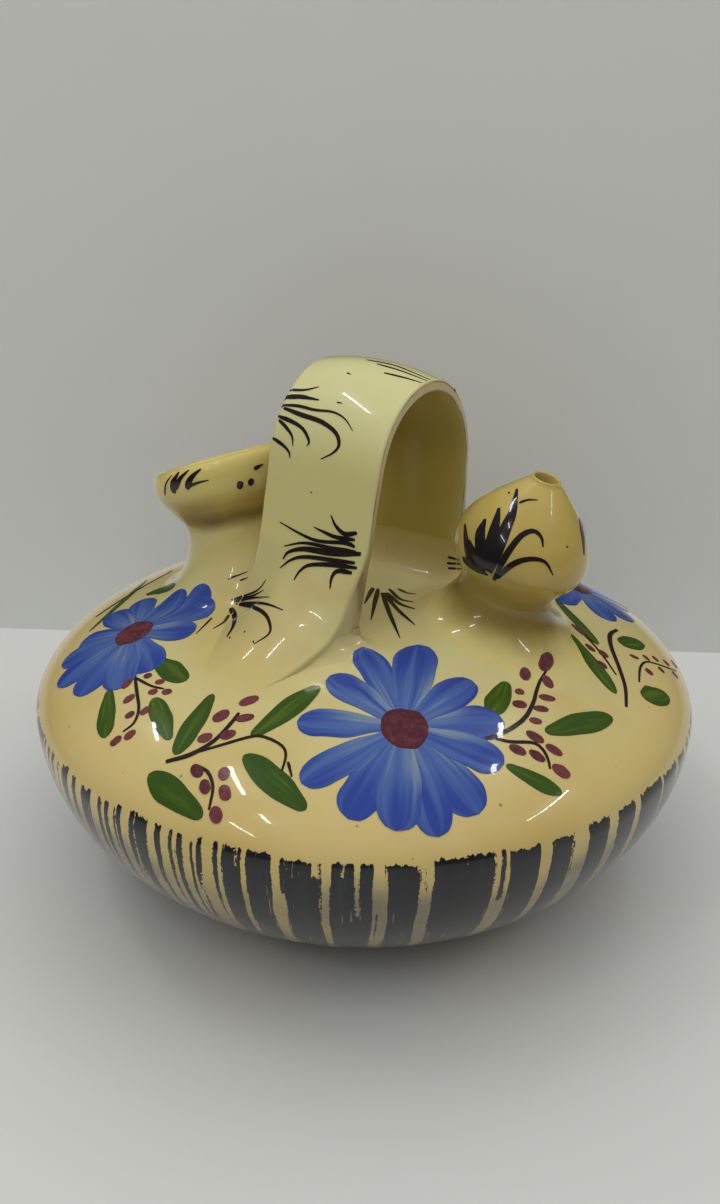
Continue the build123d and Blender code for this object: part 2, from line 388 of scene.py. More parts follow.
def finish_piece(name, bm, material, slot, *nodes):
    """Makes a bmesh into a piece of the jug that stands for the named solids."""
    mesh = bpy.data.meshes.new(name)
    for face in bm.faces:
        face.smooth = True
    bm.to_mesh(mesh)
    bm.free()
    mesh.materials.append(material)
    piece = bpy.data.objects.new(name, mesh)
    bpy.context.scene.collection.objects.link(piece)
    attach(piece, "root")
    if nodes:
        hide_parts(*nodes)
    return piece


def joined_skin(names):
    """A search tree over the faces of several pieces."""
    bm = bmesh.new()
    for name in names:
        bm.from_mesh(bpy.data.objects[name].data)
    tree = BVHTree.FromBMesh(bm)
    bm.free()
    return tree


CUTTER_STEPS = 96
CUTTER_LENGTH = 80 * MM


def socket_cut(piece, places, radii):
    """Cuts round sockets through a piece along leaning axes."""
    cutters = []
    for place, radius in zip(places, radii):
        bm = bmesh.new()
        bmesh.ops.create_cone(
            bm, cap_ends=True, segments=CUTTER_STEPS, radius1=radius, radius2=radius, depth=CUTTER_LENGTH,
            matrix=place,
        )
        mesh = bpy.data.meshes.new("socket")
        bm.to_mesh(mesh)
        bm.free()
        cutter = bpy.data.objects.new("socket", mesh)
        bpy.context.scene.collection.objects.link(cutter)
        modifier = piece.modifiers.new("socket", "BOOLEAN")
        modifier.operation = "DIFFERENCE"
        modifier.solver = "EXACT"
        modifier.object = cutter
        cutters.append(cutter)
    evaluated = piece.evaluated_get(bpy.context.evaluated_depsgraph_get())
    cut = bpy.data.meshes.new_from_object(evaluated)
    piece.modifiers.clear()
    piece.data = cut
    for cutter in cutters:
        bpy.data.objects.remove(cutter)


# Materials

class Field:
    """A value or colour that varies over a surface. Sums on it add Math nodes."""

    def __init__(self, recipe, socket):
        self.recipe = recipe
        self.socket = socket

    def sum(self, operation, one, other):
        return self.recipe.add("ShaderNodeMath", {"operation": operation}, {0: one, 1: other})

    def __add__(self, other):
        return self.sum("ADD", self, other)

    def __radd__(self, other):
        return self.sum("ADD", other, self)

    def __sub__(self, other):
        return self.sum("SUBTRACT", self, other)

    def __rsub__(self, other):
        return self.sum("SUBTRACT", other, self)

    def __mul__(self, other):
        return self.sum("MULTIPLY", self, other)

    def __rmul__(self, other):
        return self.sum("MULTIPLY", other, self)


CLEAR_COAT = 0.55


class Recipe:
    """One material under way."""

    def __init__(self, name):
        self.material = bpy.data.materials.new(name)
        self.material.use_nodes = True
        self.tree = self.material.node_tree
        self.shader = self.tree.nodes["Principled BSDF"]
        self.places = None

    @classmethod
    def over(cls, tree):
        """A recipe over a tree that is there already, such as the world's."""
        recipe = cls.__new__(cls)
        recipe.tree = tree
        return recipe

    def add(self, kind, settings=None, inputs=None, output=0):
        """Adds a node with its settings, then its sockets' values or links, and gives one of its outputs."""
        node = self.tree.nodes.new(kind)
        for name, value in (settings or {}).items():
            setattr(node, name, value)
        for name, value in (inputs or {}).items():
            self.feed(node.inputs[name], value)
        return Field(self, node.outputs[output])

    def feed(self, socket, value):
        if isinstance(value, Field):
            self.tree.links.new(value.socket, socket)
        else:
            socket.default_value = value

    def place(self):
        """The point of the piece, in metres."""
        if self.places is None:
            self.places = self.add("ShaderNodeTexCoord", output="Object")
        return self.places

    def part(self, axis):
        """One coordinate of the point, in metres."""
        return self.add("ShaderNodeSeparateXYZ", inputs={0: self.place()}, output=axis)

    def attribute(self, name):
        return self.add("ShaderNodeAttribute", {"attribute_name": name}, output="Fac")

    def height_along(self, place):
        """Height along the leaning axis of a neck, in metres."""
        axis = place.to_3x3() @ UP
        away = self.vector("SUBTRACT", self.place(), place.translation)
        settings = {"operation": "DOT_PRODUCT"}
        return self.add("ShaderNodeVectorMath", settings, {0: away, 1: axis}, output="Value")

    def vector(self, operation, one, other):
        socket = "Scale" if operation == "SCALE" else 1
        return self.add("ShaderNodeVectorMath", {"operation": operation}, {0: one, socket: other})

    def grain(self, size, detail=2.0, roughness=0.5, place=None):
        """Noise with grains of about this size in metres, or in the units of the place that is given."""
        inputs = {
            "Vector": place or self.place(), "Scale": 1 / size, "Detail": detail, "Roughness": roughness,
        }
        return self.add("ShaderNodeTexNoise", {"noise_dimensions": "3D"}, inputs)

    def step(self, value, low, high):
        """A soft step of a value from 0 at low to 1 at high."""
        settings = {"interpolation_type": "SMOOTHSTEP", "clamp": True}
        return self.add("ShaderNodeMapRange", settings, {"Value": value, "From Min": low, "From Max": high})

    def mixed(self, share, one, other):
        """A colour between two others."""
        inputs = {0: share, 6: full(one), 7: full(other)}
        return self.add("ShaderNodeMix", {"data_type": "RGBA"}, inputs, output=2)

    def sheen(self):
        """Roughness of the glaze, a little uneven."""
        return 0.16 + self.grain(4 * MM) * 0.1

    def clouds(self):
        """Soft patches of thicker glaze."""
        return self.step(self.grain(9 * MM, detail=4.0), 0.3, 0.75)

    def glaze(self, base, relief, roughness, coat=CLEAR_COAT):
        """Closes the material as paint or slip under a clear, glossy glaze."""
        self.feed(self.shader.inputs["Base Color"], base)
        self.feed(self.shader.inputs["Roughness"], roughness)
        self.feed(self.shader.inputs["Normal"], relief)
        self.shader.inputs["IOR"].default_value = 1.5
        self.shader.inputs["Specular IOR Level"].default_value = 0.2
        self.feed(self.shader.inputs["Coat Weight"], coat)
        self.shader.inputs["Coat Roughness"].default_value = 0.025
        return self.material

    def relief(self, roughened=0.13):
        """The glaze's surface: a slow swell from the hand and a fine orange peel."""
        swell = self.grain(11 * MM, detail=1.0)
        peel = self.grain(1.4 * MM, detail=2.0)
        height = swell * 0.9 + peel * roughened
        return self.add("ShaderNodeBump", inputs={"Strength": 0.35, "Distance": 0.5 * MM, "Height": height})


def full(value):
    """A colour with its opacity, or a field as it is."""
    if isinstance(value, Field):
        return value
    return (*value, 1.0)[:4]


def cream_base(recipe, colours):
    """Cream glaze, paler towards the crown, with painted shade low on the bowl, deeper patches and a few dark
    pinholes.
    """
    patches = recipe.grain(38 * MM, detail=3.0)
    height = recipe.part("Z") + (patches - 0.5) * 0.02
    base = recipe.mixed(recipe.step(height, 56 * MM, 74 * MM), colours.cream, colours.crown)
    # Painted shade below the shoulder, darkening the bowl's underside between the bars
    base = recipe.mixed(recipe.step(height, 50 * MM, 41 * MM), base, colours.bowl_shade)
    base = recipe.mixed(recipe.step(patches, 0.42, 0.75) * 0.7, base, colours.straw)
    mottle = recipe.step(recipe.grain(3.5 * MM, detail=4.0, roughness=0.7), 0.45, 0.8)
    base = recipe.mixed(mottle * 0.22, base, colours.pale)
    specks = recipe.add("ShaderNodeTexVoronoi", inputs={"Vector": recipe.place(), "Scale": 1 / (7 * MM)})
    size = recipe.grain(9 * MM)
    spots = recipe.step(size * 0.09 - specks, -0.012, 0.004)
    return recipe.mixed(spots * 0.75, base, colours.worn)


RIM_RADIUS = 90 * MM


def brushed_bars(recipe, colours, base):
    """Blue-black bars, brushed down from the shoulder with ragged edges and dry streaks."""
    upright = recipe.part("Z")
    flat = recipe.vector("MULTIPLY", recipe.place(), (1, 1, 0))
    rim = recipe.vector("SCALE", recipe.vector("NORMALIZE", flat, (0, 0, 0)), RIM_RADIUS)
    fall = recipe.add("ShaderNodeCombineXYZ", inputs={"Z": upright * 0.07})
    lines = recipe.vector("ADD", rim, fall)
    ragged = recipe.grain(1.5 * MM, detail=3.0, roughness=0.6, place=lines)
    chips = recipe.grain(0.7 * MM, detail=2.0)
    edge = recipe.attribute("bar_edge") + (ragged - 0.5) * 2.8 + (chips - 0.5) * 0.9
    mask = recipe.step(edge, -0.06, 0.12)
    dry = recipe.grain(1.1 * MM, detail=4.0, roughness=0.7, place=lines)
    dryness = recipe.step(upright, 46 * MM, 12 * MM)
    streaks = recipe.step(dry + dryness * 0.13, 0.66, 0.73)
    mask = mask * (1 - streaks * 0.85)
    thin = recipe.step(recipe.grain(2.6 * MM, detail=3.0, place=lines), 0.35, 0.8)
    ink = recipe.mixed(thin * 0.5, colours.bar, colours.bar_thin)
    return recipe.mixed(mask, base, ink)


def body_material(name, colours):
    recipe = Recipe(name)
    base = brushed_bars(recipe, colours, cream_base(recipe, colours))
    return recipe.glaze(base, recipe.relief(), recipe.sheen())


def neck_material(name, colours, place, heights):
    """Cream glaze with painted shadow in the hollow of a neck, below the lip on the mouth and below the fig
    on the spout, and yellower above it.

    The four heights along the neck are where the painted shadow starts and is deepest, and where the upper
    glaze starts and is lightest.
    """
    recipe = Recipe(name)
    base = cream_base(recipe, colours)
    height = recipe.height_along(place) + (recipe.grain(10 * MM) - 0.5) * 0.004
    shadow_start, deep, body, top = heights
    base = recipe.mixed(recipe.step(height, 0.0, shadow_start) * 0.6, base, colours.lemon)
    # Painted shadow in the neck's hollow, under the part that overhangs it
    base = recipe.mixed(recipe.step(height, shadow_start, deep) * 0.95, base, colours.hollow_shadow)
    upper = recipe.mixed(recipe.clouds() * 0.4, colours.ochre, colours.straw)
    base = recipe.mixed(recipe.step(height, deep, body), base, upper)
    base = recipe.mixed(recipe.step(height, body, top) * 0.8, base, colours.lemon)
    return recipe.glaze(base, recipe.relief(0.24), recipe.sheen())


def strap_material(name, colours):
    """Pale glaze over cream, with painted light along the top, painted shade in olive on the underside, and
    thin along the sides, where brown clay shows.
    """
    recipe = Recipe(name)
    base = cream_base(recipe, colours)
    share = recipe.step(recipe.part("Z") + (recipe.grain(14 * MM) - 0.5) * 0.008, 74 * MM, 92 * MM)
    base = recipe.mixed(share, base, recipe.mixed(recipe.clouds() * 0.35, colours.pale, colours.crown))
    height = recipe.part("Z")
    blush = recipe.step(height, 70 * MM, 80 * MM) * recipe.step(height, 100 * MM, 86 * MM)
    base = recipe.mixed(blush * recipe.step(recipe.grain(17 * MM), 0.35, 0.6) * 0.6, base, colours.blush)
    # Painted light along the top of the arch
    base = recipe.mixed(recipe.step(height, 114 * MM, 132 * MM) * 0.8, base, colours.strap_top_light)
    # Painted shade: the underside and the angles at the feet are darkened to olive, and their clear coat
    # thinned
    under = recipe.attribute("under")
    base = recipe.mixed(under * 0.9, base, colours.underside_shade)
    rim = recipe.attribute("rim")
    sides = recipe.mixed(recipe.step(height, 86 * MM, 112 * MM), colours.clay, colours.beige)
    base = recipe.mixed(recipe.step(rim, 0.35, 0.9) * 0.85, base, sides)
    inputs = {"X": recipe.attribute("run") * 90.0, "Y": rim * 2.5, "Z": recipe.part("X") * 160.0}
    streaks = recipe.add("ShaderNodeCombineXYZ", inputs=inputs)
    wear = recipe.grain(1.0, detail=4.0, place=streaks)
    line = recipe.step(rim, 0.6, 0.75) * recipe.step(rim, 1.0, 0.86)
    base = recipe.mixed(line * recipe.step(wear, 0.4, 0.6) * 0.9, base, colours.worn)
    return recipe.glaze(base, recipe.relief(0.3), recipe.sheen(), CLEAR_COAT - under * 0.45)


def bristle_lines(recipe, along_size, across_size, detail):
    """Noise that runs with a stroke, and differs from one stroke to the next."""
    inputs = {
        "X": recipe.attribute("along") * (1 / along_size),
        "Y": recipe.attribute("across") * (1 / across_size),
        "Z": recipe.attribute("tone") * 37.0,
    }
    return recipe.grain(1.0, detail=detail, place=recipe.add("ShaderNodeCombineXYZ", inputs=inputs))


def petal_material(colours):
    """Blue petals, thick at the tip and thinned in soft streaks towards the heart."""
    recipe = Recipe("petal_blue")
    along = recipe.attribute("along")
    across = recipe.attribute("across")
    tone = recipe.attribute("tone")
    washes = bristle_lines(recipe, 1.6, 0.55, 2.0)
    bristles = bristle_lines(recipe, 0.9, 0.16, 3.0)
    inward = recipe.step(along, 0.92, 0.3)
    base = recipe.mixed(recipe.step(washes + inward * 0.22, 0.4, 0.75), colours.petal, colours.petal_thin)
    lean = recipe.step(across * (tone - 0.45), -0.1, 0.45)
    dry = recipe.step(washes * 0.6 + bristles * 0.4 + lean * 0.3 + inward * 0.2, 0.68, 1.0) * inward
    base = recipe.mixed(dry * 0.85, base, colours.petal_dry)
    edge = recipe.step(across * across, 0.8, 1.0) * recipe.step(along, 0.35, 0.8)
    base = recipe.mixed(edge * 0.5, base, colours.petal)
    return recipe.glaze(base, recipe.relief(), 0.15 + bristles * 0.1)


def leaf_material(colours):
    """Green leaves with darker rims and a thinner middle."""
    recipe = Recipe("leaf_green")
    pools = bristle_lines(recipe, 0.6, 0.4, 3.0)
    across = recipe.attribute("across")
    middle = recipe.step(across * across, 0.7, 0.0)
    share = recipe.step(pools * 0.8 + middle * 0.2 + recipe.attribute("tone") * 0.12, 0.5, 0.95)
    base = recipe.mixed(share, colours.leaf, colours.leaf_thin)
    return recipe.glaze(base, recipe.relief(), 0.15 + pools * 0.1)


def dab_material(name, main, thin):
    """A dab of one paint, uneven from the brush."""
    recipe = Recipe(name)
    pools = recipe.grain(1.6 * MM, detail=3.0, roughness=0.6)
    across = recipe.attribute("across")
    rim = recipe.step(across * across, 0.55, 1.0)
    share = recipe.step(pools + recipe.attribute("tone") * 0.35 - rim * 0.2, 0.5, 0.95)
    base = recipe.mixed(share, main, thin)
    return recipe.glaze(base, recipe.relief(), 0.13 + pools * 0.1)


STAGE_SHADE = (0.4, 0.4, 0.39)


def stage_material(name, tint):
    """A plain matt surface with a breath of unevenness."""
    recipe = Recipe(name)
    base = recipe.mixed(recipe.grain(60 * MM) * 0.06, tint, STAGE_SHADE)
    recipe.feed(recipe.shader.inputs["Base Color"], base)
    recipe.shader.inputs["Roughness"].default_value = 0.6
    return recipe


# The photograph's camera

PHOTO_CENTRE = (360, 602)
PHOTO_HEIGHT = 1204
PHOTO_FOCAL = 1029.3
CAMERA_PLACE = (112.60 * MM, -234.24 * MM, 189.87 * MM)
CAMERA_TURN = 26.0
CAMERA_FALL = 24.35
CAMERA_ROLL = 0.745


def camera_matrix():
    turn = Matrix.Rotation(math.radians(CAMERA_TURN), 4, "Z")
    fall = Matrix.Rotation(math.radians(90 - CAMERA_FALL), 4, "X")
    roll = Matrix.Rotation(math.radians(CAMERA_ROLL), 4, "Z")
    return Matrix.Translation(CAMERA_PLACE) @ turn @ fall @ roll


def sight(pixel):
    """The direction in which the camera sees a point of the photograph."""
    across = (pixel[0] - PHOTO_CENTRE[0]) / PHOTO_FOCAL
    up = (PHOTO_CENTRE[1] - pixel[1]) / PHOTO_FOCAL
    return (camera_matrix().to_3x3() @ Vector((across, up, -1))).normalized()


def shown_at(point):
    """The photograph's point at which a place is seen."""
    local = camera_matrix().inverted() @ Vector(point)
    return (
        PHOTO_CENTRE[0] - PHOTO_FOCAL * local.x / local.z,
        PHOTO_CENTRE[1] + PHOTO_FOCAL * local.y / local.z,
    )


# Bars brushed down the bowl. Each is given by the photograph's columns where its two sides cross the
# shoulder. The second list holds strokes that stop short, with the heights in mm between which they run, and
# the third holds notches in the tops of bars, with their depth in mm.
BAR_SIDES = (
    (45, 46), (48, 50), (52, 54), (57, 59), (62, 67), (71.5, 76), (80.5, 90.5), (98.5, 101.5), (103.5, 108.5),
    (113, 115.3), (116.6, 120.5), (129, 133), (135, 147), (155, 159.5), (168.5, 172), (176.5, 182),
    (190, 193.5), (195.5, 200), (212.5, 217), (221, 241), (246, 271.5), (285, 320.3), (329.5, 374),
    (388.4, 420.6), (434.3, 494.8), (511.3, 541.2), (552, 574.3), (589.3, 610), (618.3, 635.7), (641, 662),
    (664.5, 676), (678, 684), (685.5, 688),
)
SHORT_BARS = (
    (281, 284.5, 44, 54), (376, 378.5, 12, 40), (385, 387, 48, 53), (426, 428.5, 46, 52),
    (504, 507, 40, 53.5),
)
NOTCHES = ((354.7, 360, 15), (467, 469.5, 6), (313, 316, 3), (341, 343.5, 3), (234, 236.5, 4))

# Bars on the far side, by chance: turns that their widths and the gaps between them take up, in radians
FAR_WIDTHS = (0.02, 0.035, 0.07, 0.11, 0.16)
FAR_GAPS = (0.012, 0.045)
LAST_GAP = 0.015

# Heights in metres that lie past both ends of the jug, and the depth in mm that stands for outside every bar
ALL_HEIGHTS = (-1.0, 1.0)
OUTSIDE_BARS = -4.0


class Bars:
    """How deep a point of the shoulder lies inside the nearest brushed bar, in millimetres."""

    def __init__(self, scene):
        self.outline = Outline(scene)
        self.top = scene.jug_paint.bar_top
        chance = random.Random(scene.jug_paint.seed)
        turns = self.seen_turns()
        self.bars = []
        for left, right in BAR_SIDES:
            self.bars.append((self.turn_at(turns, left), self.turn_at(turns, right), *ALL_HEIGHTS))
        round_again = self.bars[0][0] + FULL_TURN
        turn = self.bars[-1][1]
        while turn < round_again - 2 * LAST_GAP:
            start = turn + chance.uniform(*FAR_GAPS)
            turn = start + chance.choice(FAR_WIDTHS) * chance.uniform(0.8, 1.3)
            self.bars.append((start, min(turn, round_again - LAST_GAP), *ALL_HEIGHTS))
        for left, right, low, high in SHORT_BARS:
            self.bars.append((self.turn_at(turns, left), self.turn_at(turns, right), low * MM, high * MM))
        self.notches = []
        for left, right, depth in NOTCHES:
            self.notches.append((self.turn_at(turns, left), self.turn_at(turns, right), depth * MM))
        self.offsets = [chance.uniform(-0.7, 0.7) * MM for bar in self.bars]
        self.near = {}

    def seen_turns(self):
        """The photograph's columns across the near half of the shoulder, with their turns about the axis."""
        middle = math.radians(CAMERA_TURN - 90)
        distance = self.outline.radius * 0.995
        turns = []
        for share in steps(720):
            turn = middle + math.radians(blend(-75, 75, share))
            point = (distance * math.cos(turn), distance * math.sin(turn), self.top)
            turns.append((shown_at(point)[0], turn))
        return turns

    def turn_at(self, turns, column):
        for one, other in zip(turns, turns[1:]):
            if one[0] <= column <= other[0]:
                return blend(one[1], other[1], (column - one[0]) / (other[0] - one[0]))
        return turns[0][1] if column < turns[0][0] else turns[-1][1]

    def inside(self, start, end, turn, distance):
        """How far inside a pair of sides a turn lies, along the surface."""
        middle = (start + end) / 2
        apart = (turn - middle + math.pi) % FULL_TURN - math.pi
        return ((end - start) / 2 - abs(apart)) * distance

    def around(self, turn):
        """The bars near a turn, with the rise or fall of their tops."""
        column = round(turn, 3)
        if column not in self.near:
            self.near[column] = [
                (bar, offset) for bar, offset in zip(self.bars, self.offsets)
                if self.inside(bar[0], bar[1], column, 1) > -0.08
            ]
        return self.near[column]

    def depth(self, point):
        turn = math.atan2(point.y, point.x)
        distance = math.hypot(point.x, point.y)
        deepest = OUTSIDE_BARS * MM
        for (start, end, low, high), offset in self.around(turn):
            across = self.inside(start, end, turn, distance)
            below = min(self.top + offset, high) - point.z
            above = point.z - low
            deepest = max(deepest, min(across, below, above))
        for start, end, reach in self.notches:
            across = self.inside(start, end, turn, distance)
            rise = point.z - (self.top - reach)
            deepest = min(deepest, -min(across, rise))
        return deepest / MM

    def mark(self, mesh):
        """Keeps the depth as an attribute of the mesh. Inner faces and the underside get none."""
        layer = mesh.attributes.new("bar_edge", "FLOAT", "POINT")
        low = 1 * MM
        high = self.top + 4 * MM
        for vert, item in zip(mesh.vertices, layer.data):
            distance = math.hypot(vert.co.x, vert.co.y)
            fall = max(self.outline.shoulder - vert.co.z, 0.0) / self.outline.depth
            skin = self.outline.radius * math.sqrt(max(1 - fall * fall, 0))
            outside = low < vert.co.z < high and distance > skin - self.outline.wall / 2
            item.value = self.depth(vert.co) if outside else OUTSIDE_BARS


# Turned pieces

TURNED_CREASE = 50
NECK_STEPS = 192
NECK_FOOT = -7.5 * MM
SOCKET_LAP = 2 * MM
FLARE_STEPS = 168


class JUG_OT_bowl(Operator):
    """Turn the lower bowl with its foot ring, and brush the bars round it"""

    bl_idname = "jug.bowl"
    bl_label = "Bowl"

    def execute(self, context):
        scene = context.scene
        sizes = scene.jug_body
        outline = Outline(scene)
        centre = (0, sizes.shoulder)
        foot_turn = -math.degrees(math.asin(sizes.shoulder / outline.depth))
        ring = sizes.foot - sizes.foot_ring
        inner = sizes.radius - sizes.wall
        inner_depth = outline.depth - sizes.wall
        floor = sizes.foot_recess + sizes.wall
        floor_turn = -math.degrees(math.asin((sizes.shoulder - floor) / inner_depth))
        chain = [(distance, sizes.foot_recess) for distance in (0, ring * 0.5, ring - 0.8 * MM)]
        chain += quarter((ring + 0.6 * MM, 0.9 * MM), 0.9 * MM, 0.9 * MM, 180, 270, 4)
        chain += quarter((sizes.foot - 0.9 * MM, 0.7 * MM), 0.9 * MM, 0.7 * MM, 270, 320, 3)
        chain += quarter(centre, sizes.radius, outline.depth, foot_turn + 1.2, 0, 44)
        chain += quarter(centre, inner, inner_depth, 0, floor_turn, 12)
        chain += [(inner * 0.4, floor), (0, floor)]
        bm = turned(chain, sizes.around, Matrix.Identity(4))
        crease(bm, TURNED_CREASE)
        material = body_material("bowl_glaze", scene.jug_colours)
        piece = finish_piece("bowl_skin", bm, material, "bowl_glaze", "lower_bowl")
        Bars(scene).mark(piece.data)
        return {"FINISHED"}


class JUG_OT_dome(Operator):
    """Turn the dome, cut its two sockets and carry the tops of the bars over the shoulder"""

    bl_idname = "jug.dome"
    bl_label = "Dome"

    def execute(self, context):
        scene = context.scene
        sizes = scene.jug_body
        outline = Outline(scene)
        centre = (0, sizes.shoulder)
        inner = sizes.radius - sizes.wall
        outer = quarter(centre, sizes.radius, sizes.rise, 0, 14, 14)
        outer += quarter(centre, sizes.radius, sizes.rise, 16, 88, 36)
        outer[-1] = (0, outer[-1][1])
        under = [(0, sizes.shoulder + sizes.rise)]
        under += quarter(centre, inner, sizes.rise - sizes.wall, 90, 0, 14)
        bm = turned(outer[::-1] + under[::-1], sizes.around, Matrix.Identity(4))
        crease(bm, TURNED_CREASE)
        material = body_material("dome_glaze", scene.jug_colours)
        piece = finish_piece("dome_skin", bm, material, "dome_glaze", "upper_dome")
        places = (outline.mouth_place(scene), outline.spout_place(scene))
        necks = (scene.jug_mouth.neck, scene.jug_spout.neck)
        socket_cut(piece, places, [neck - SOCKET_LAP for neck in necks])
        Bars(scene).mark(piece.data)
        return {"FINISHED"}


def flare(outline, place, neck, height, spread):
    """A flare that leaves a neck along its axis and runs out level with the dome."""
    columns = []
    axis = place.to_3x3() @ UP
    for number in range(FLARE_STEPS):
        turn = FULL_TURN * number / FLARE_STEPS
        way = Vector((math.cos(turn), math.sin(turn), 0))
        top = place @ (way * neck + Vector((0, 0, height)))
        flat = place @ (way * (neck + spread))
        distance = math.hypot(flat.x, flat.y)
        foot = Vector((flat.x, flat.y, outline.dome(distance)))
        plan = Vector((foot.x - top.x, foot.y - top.y, 0)).normalized()
        out = Vector((foot.x, foot.y, 0)).normalized()
        run = Vector((plan.x, plan.y, outline.dome_slope(distance) * plan.dot(out)))
        fall = -axis * height * 1.35
        column = [hermite(top, fall, foot, run * spread * 1.5, share) for share in steps(21)[:-1]]
        inside = place @ (way * (neck - 1 * MM))
        sunk = Vector((0, 0, 2.5 * MM))
        column += [foot - Vector((0, 0, 0.02 * MM)), foot - Vector((0, 0, 1.2 * MM))]
        column += [foot.lerp(inside, 0.5) - sunk, inside - sunk, top - (place.to_3x3() @ way) * MM]
        columns.append(column)
    bm = skinned(list(zip(*columns)), closed=True)
    crease(bm, 40)
    return bm


class JUG_OT_mouth(Operator):
    """Turn the filling mouth and draw its flare out over the dome"""

    bl_idname = "jug.mouth"
    bl_label = "Filling mouth"

    def execute(self, context):
        scene = context.scene
        sizes = scene.jug_mouth
        outline = Outline(scene)
        place = outline.mouth_place(scene)
        foot = NECK_FOOT
        half = sizes.lip_thickness / 2
        inside = (sizes.lip - sizes.lip_thickness, sizes.lip_height)
        throat = (sizes.bore, sizes.throat_height)
        chain = [(sizes.bore, foot), (sizes.neck, foot)]
        chain += [(sizes.neck, blend(foot, sizes.neck_height, share)) for share in steps(8)[1:-1]]
        chain += swept((sizes.neck, sizes.neck_height), (0, 1), (sizes.lip, sizes.lip_height), (0, 1), 18)
        chain += quarter((sizes.lip - half, sizes.lip_height), half, sizes.lip_roll, 0, 180, 18)[1:]
        chain += swept(inside, (0, -1), throat, (0, -1), 10)[1:]
        chain += [(sizes.bore, blend(sizes.throat_height, foot, share)) for share in steps(6)[1:-1]]
        bm = turned(chain, NECK_STEPS, place)
        self.slant(bm, sizes, place)
        crease(bm, TURNED_CREASE)
        heights = (16 * MM, 20.5 * MM, 24.5 * MM, 30 * MM)
        material = neck_material("mouth_glaze", scene.jug_colours, place, heights)
        finish_piece("mouth_neck", bm, material, "mouth_glaze", "filling_mouth")
        bm = flare(outline, place, sizes.neck, sizes.flare_height, sizes.flare_spread)
        finish_piece("mouth_flare", bm, material, "mouth_glaze", "mouth_coil")
        return {"FINISHED"}

    def slant(self, bm, sizes, place):
        """Raises the lip towards the front, as the potter's cut left it."""
        front = math.radians(CAMERA_TURN - 65)
        back = place.inverted()
        axis = place.to_3x3() @ UP
        for vert in bm.verts:
            local = back @ vert.co
            towards = (local.x * math.cos(front) + local.y * math.sin(front)) / sizes.lip
            share = smooth_step(sizes.lip_height - 8 * MM, sizes.lip_height + sizes.lip_roll, local.z)
            vert.co += axis * (sizes.lip_slant * share * (1 + towards) / 2)


class JUG_OT_spout(Operator):
    """Turn the fig-shaped spout with its jet hole and draw its flare out over the dome"""

    bl_idname = "jug.spout"
    bl_label = "Drinking spout"

    def execute(self, context):
        scene = context.scene
        sizes = scene.jug_spout
        outline = Outline(scene)
        place = outline.spout_place(scene)
        foot = NECK_FOOT
        throat = sizes.neck - sizes.wall
        jet_foot = sizes.height - sizes.jet_length
        widest = (sizes.bulb, sizes.bulb_height)
        hollow = (sizes.bulb - sizes.wall, sizes.bulb_height)
        chain = [(throat, foot), (sizes.neck, foot)]
        chain += [(sizes.neck, blend(foot, sizes.neck_height, share)) for share in steps(8)[1:-1]]
        chain += swept((sizes.neck, sizes.neck_height), (0, 1), widest, (0, 1), 14)
        chain += swept(widest, (0, 1), (sizes.tip, sizes.height - 0.5 * MM), (-1, 1), 26)[1:]
        rim = (sizes.tip + sizes.jet) / 2
        chain += quarter((rim, sizes.height - 0.5 * MM), sizes.tip - rim, 0.6 * MM, 0, 180, 8)[1:]
        chain += [(sizes.jet, blend(sizes.height - 0.5 * MM, jet_foot, share)) for share in steps(4)[1:]]
        chain += swept((sizes.jet, jet_foot), (1, -1), hollow, (0, -1), 8)[1:]
        chain += swept(hollow, (0, -1), (throat, sizes.neck_height), (0, -1), 8)[1:]
        chain += [(throat, blend(sizes.neck_height, foot, share)) for share in steps(4)[1:-1]]
        bm = turned(chain, NECK_STEPS, place)
        crease(bm, TURNED_CREASE)
        heights = (2 * MM, 9 * MM, 19 * MM, 70 * MM)
        material = neck_material("spout_glaze", scene.jug_colours, place, heights)
        finish_piece("spout_fig", bm, material, "spout_glaze", "drinking_spout")
        bm = flare(outline, place, sizes.neck, sizes.flare_height, sizes.flare_spread)
        finish_piece("spout_flare", bm, material, "spout_glaze", "spout_coil")
        return {"FINISHED"}


# Strap handle, drawn across the dome in Y and Z

LEG_CROWN = 0.25 * MM
RIDGE_DRAWN_IN = 2.5 * MM
RIDGE_FALL = 3.6 * MM


class Leg:
    """One leg of the strap: the line of one of its faces, from the arch down to the dome."""

    def __init__(self, sizes, outline, side, lean, radius):
        centre = Vector((sizes.shift, outline.shoulder + outline.rise + sizes.rise - sizes.arch))
        self.outline = outline
        self.side = side
        self.down = Vector((side * math.sin(lean), -math.cos(lean)))
        self.out = Vector((side * math.cos(lean), math.sin(lean)))
        self.top = centre + self.out * radius
        self.foot = self.on_dome()

    def on_dome(self):
        above = 0.0
        below = 120 * MM
        for halving in range(40):
            middle = (above + below) / 2
            point = self.top + self.down * middle
            if point.y > self.outline.dome(abs(point.x)):
                above = middle
            else:
                below = middle
        return self.top + self.down * above

    def above_foot(self, height):
        return self.foot - self.down * height

    def beside_foot(self, reach):
        place = self.foot.x + self.side * reach
        return Vector((place, self.outline.dome(abs(place))))

    def above_tangent(self, end):
        """Where the leg's line meets the dome's tangent at a point beyond its foot."""
        slope = self.outline.dome_slope(abs(end.x)) * self.side
        fall = self.foot.y - end.y - slope * (self.foot.x - end.x)
        return self.above_foot(fall / (self.down.y - slope * self.down.x))


